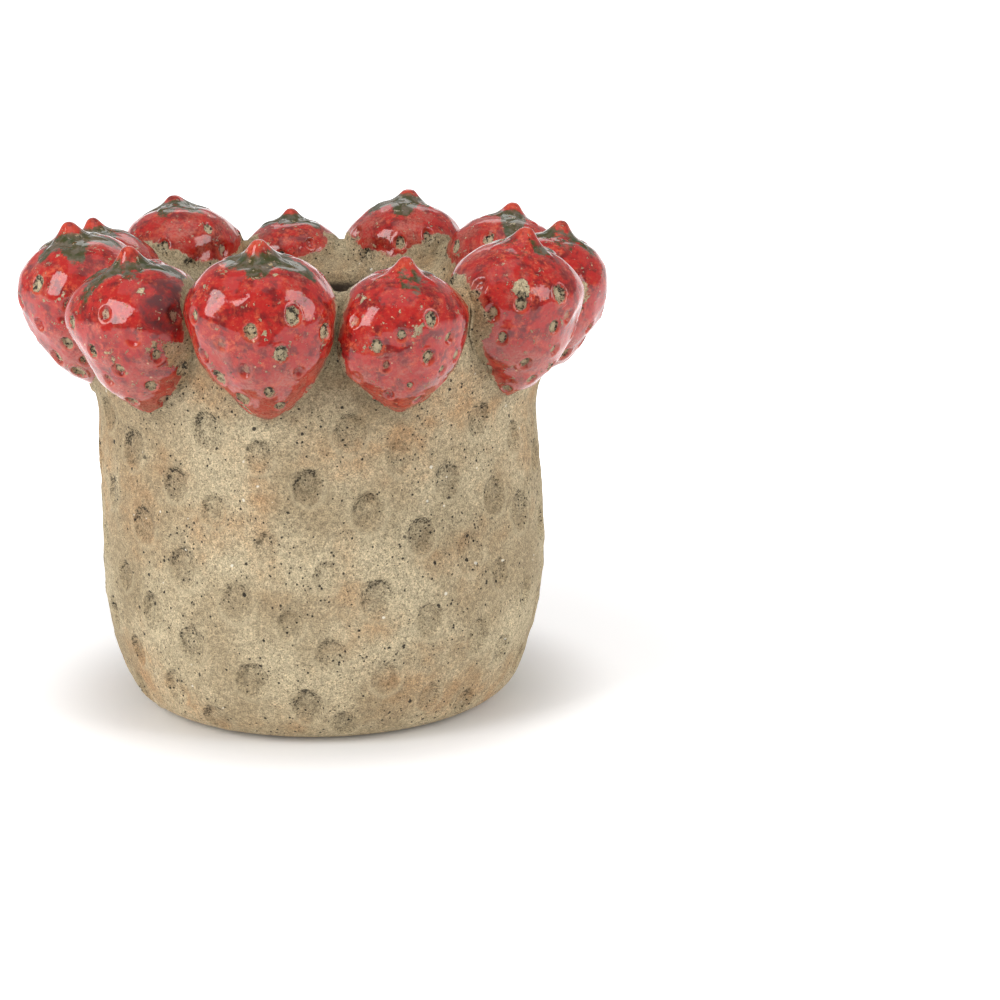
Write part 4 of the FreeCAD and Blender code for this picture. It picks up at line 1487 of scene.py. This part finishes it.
    def build_cap(self, seat: BerrySeat, glaze: Material) -> Piece:
        """Builds the leaf cap and nub on one berry.

        Args:
            seat: The berry's place.
            glaze: The cap's finish.

        Returns:
            The cap's object.
        """
        count, rings, form = self.cap_columns, self.cap_rings, self.form
        turns = even_turns(count)
        pitch = FULL_TURN / self.sepals
        roll = math.radians(seat.index * self.sepal_roll)
        wave = np.abs(((turns - roll) % pitch) / pitch - 0.5) * 2
        outline = self.sepal_root + (self.sepal_reach - self.sepal_root) * (1 - wave) ** self.sepal_point
        steps = np.linspace(0.0, 1.0, rings + 1)[1:]
        radius = np.outer(steps, outline).ravel()
        step, rib = np.repeat(steps, count), np.tile(1.0 - wave, rings)
        crown = form.line[:, 1] > form.waist
        shares = np.interp(radius, form.line[crown, 0][::-1], (form.run[crown] / form.run[-1])[::-1])
        base, ways = self.skin(seat, shares, np.tile(turns, rings))
        tip, tip_way = self.skin(seat, np.ones(1), np.zeros(1))
        lift = self.cap_lift * (1.0 - ease(0.55, 0.95, step)) * ease(3.0, 6.0, radius)
        lift -= self.cap_tuck * ease(0.72, 1.0, step)
        lift += self.cap_rib * ease(0.8, 1.0, rib) * ease(4.0, 7.0, radius) * (1 - ease(0.7, 0.9, step))
        top = base + ways * lift[:, None]
        top[:, 2] += self.nub(seat, radius)
        peak = tip + np.array([0.0, 0.0, self.nub(seat, 0.0)])
        under, pit = base - ways * self.cap_thickness, tip - tip_way * self.cap_thickness
        points = np.concatenate([peak, top, pit, under])
        bottom = rings * count + 1
        rows = 1 + np.arange(rings * count).reshape(rings, count)
        faces = closed_skin(np.concatenate([rows + bottom, rows[::-1]]), bottom, 0)
        name = "leaf_cap_" + seat.number
        mesh = grid_mesh(name, points, faces)
        self.add_seat(mesh, seat, points)
        add_values(mesh, "mark", np.tile(self.no_mark, (len(points), 1)))
        add_values(mesh, "press", np.zeros(len(points)))
        write_points(mesh, within(seat.outside(points), self.box))
        mesh.materials.append(glaze)
        return add_piece(name, mesh, Slot.LEAF, "calyx_" + seat.number)

    def nub(self, seat: BerrySeat, radius: Values | float) -> Values:
        """Height of a berry's nub over its crown at a distance from the axis."""
        height = self.form.nub_height * (1.0 - abs(seat.share - 1.0)) + self.nub_lifts[seat.index]
        return height * np.exp(-((radius / self.form.nub_radius) ** self.form.nub_power))


@dataclass(frozen=True)
class Softbox:
    """A flat soft lamp that faces the pot."""

    name: str
    turn: float
    rise: float
    distance: float
    width: float
    height: float
    glow: float

    def place(self, target: tuple[float, float, float]) -> None:
        """Hangs the lamp.

        Args:
            target: Point that it faces, in metres.
        """
        lamp = bpy.data.lights.new(self.name, "AREA")
        lamp.shape = "RECTANGLE"
        lamp.size, lamp.size_y = self.width, self.height
        lamp.energy = self.glow * math.pi * self.width * self.height
        hung = add_object(self.name, lamp)
        turn, rise = math.radians(self.turn), math.radians(self.rise)
        hung.location = (
            target[0] + self.distance * math.sin(turn) * math.cos(rise),
            target[1] - self.distance * math.cos(turn) * math.cos(rise),
            target[2] + self.distance * math.sin(rise),
        )
        hung.rotation_euler = (math.pi / 2 - rise, 0.0, turn)


@dataclass
class Studio:
    """Pale floor, soft lamps and the camera at the photograph's place."""

    camera_place: tuple[float, float, float] = (0.0641, -0.7521, 0.2488)
    camera_pitch: float = 13.43
    lens: float = 76.86
    sensor: float = 36.0
    target: tuple[float, float, float] = (0.0, 0.0, 0.1)
    floor_reach: float = 6.0
    floor_front: float = -0.31
    backdrop_place: float = 1.8
    backdrop_height: float = 0.6
    pale: Colour = (0.92, 0.92, 0.92, 1.0)
    contact_lift: float = 0.02
    near_lift: float = 0.42
    gloss_lift: float = 1.0
    contact_reach: float = 0.115
    shadow_reach: float = 0.45
    surround: float = 0.34
    gloss_surround: float = 0.5
    lamps: tuple[Softbox, ...] = (
        Softbox("key_softbox", -48.0, 24.0, 0.95, 0.35, 0.86, 6.7),
        Softbox("fill_softbox", 61.0, 22.0, 1.05, 0.42, 0.86, 4.5),
        Softbox("top_softbox", 0.0, 78.0, 1.3, 1.0, 0.9, 0.7),
        Softbox("back_softbox", 180.0, 40.0, 1.4, 0.9, 0.4, 1.4),
    )

    def build(self) -> None:
        """Sets the stage."""
        scene = bpy.context.scene
        scene.view_settings.view_transform = "Standard"
        self.lay_floor()
        self.set_surround()
        for lamp in self.lamps:
            lamp.place(self.target)
        scene.camera = add_object("camera", bpy.data.cameras.new("camera"))
        scene.camera.data.lens = self.lens
        scene.camera.data.sensor_width = self.sensor
        scene.camera.location = self.camera_place
        scene.camera.rotation_euler = (math.radians(90 - self.camera_pitch), 0.0, 0.0)

    def lay_floor(self) -> None:
        """Lays a pale floor that keeps the pot's shadow, and stands a backdrop behind it."""
        reach, front = self.floor_reach, self.floor_front
        back, top = self.backdrop_place, self.backdrop_height
        sheets = {
            "floor": [(-reach, front, 0), (reach, front, 0), (reach, reach, 0), (-reach, reach, 0)],
            "backdrop": [(-reach, back, 0), (reach, back, 0), (reach, back, top), (-reach, back, top)],
        }
        material = self.paint_floor()
        for name, corners in sheets.items():
            mesh = bpy.data.meshes.new(name)
            mesh.from_pydata(corners, [], [(0, 1, 2, 3)])
            mesh.materials.append(material)
            add_object(name, mesh)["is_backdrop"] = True

    def paint_floor(self) -> Material:
        """The floor's pale paint, which the camera and the gloss see as white away from the pot.

        Returns:
            The material.
        """
        material = bpy.data.materials.new("pale_floor")
        material.use_nodes = True
        material.node_tree.nodes.clear()
        w = Wires(material.node_tree)
        rays = w.node("ShaderNodeLightPath").outputs
        away = w.vector("LENGTH", w.node("ShaderNodeTexCoord").outputs["Object"])
        # Less added glow close to the foot lets the rendered shadow show; the ring round the foot stays
        # darker than open floor, partly a painted contact shadow.
        close = w.ease(0.6 * self.contact_reach, self.contact_reach, away, self.contact_lift, self.near_lift)
        far = w.ease(self.contact_reach, self.shadow_reach, away, 0.0, 1.0 - self.near_lift)
        looked = w.most(rays["Is Camera Ray"], rays["Is Transmission Ray"])
        seen = w.times(looked, w.math("ADD", close, far))
        glow = w.line(rays["Is Glossy Ray"], self.gloss_lift, seen)
        plain = w.call("ShaderNodeBsdfDiffuse", {"Color": self.pale})
        lift = w.call("ShaderNodeEmission", {"Color": WHITE, "Strength": glow})
        both = w.call("ShaderNodeAddShader", {0: plain, 1: lift})
        w.node("ShaderNodeOutputMaterial", {"Surface": both})
        return material

    def set_surround(self) -> None:
        """A white background for the camera, a half white one for the gloss and a dim soft light."""
        world = bpy.data.worlds.new("studio")
        world.use_nodes = True
        w = Wires(world.node_tree)
        rays = w.node("ShaderNodeLightPath").outputs
        glossy = w.ease(0.0, 1.0, rays["Is Glossy Ray"], self.surround, self.gloss_surround)
        strength = w.most(rays["Is Camera Ray"], rays["Is Transmission Ray"], glossy)
        w.put(world.node_tree.nodes["Background"], {"Color": WHITE, "Strength": strength})
        bpy.context.scene.world = world


def box_lists() -> list[list[float]]:
    """The shown object's lowest and highest corners as plain lists."""
    return [[float(value) for value in corner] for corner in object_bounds()]


def main() -> None:
    """Builds the pot, its berries and leaf caps, and the stage round them."""
    logging.basicConfig(level=logging.INFO, format="%(message)s")
    cad_box = box_lists()
    pot = ThrownPot()
    ring = BerryRing(np.array(cad_box) / MM, pot)
    marks = PressedMarks()
    clay = SandyClay().make()
    glaze = StrawberryGlaze(Slot.BERRY).make()
    leaf_glaze = StrawberryGlaze(Slot.LEAF).make()
    made = [pot.build(ring.seats, marks, clay)]
    for seat in ring.seats:
        made.append(ring.build_berry(seat, marks, glaze))
        made.append(ring.build_cap(seat, leaf_glaze))
    for piece in made:
        piece.data.calc_loop_triangles()
        log.info("%s: %d triangles", piece.name, len(piece.data.loop_triangles))
    Studio().build()


if __name__ == "__main__":
    main()
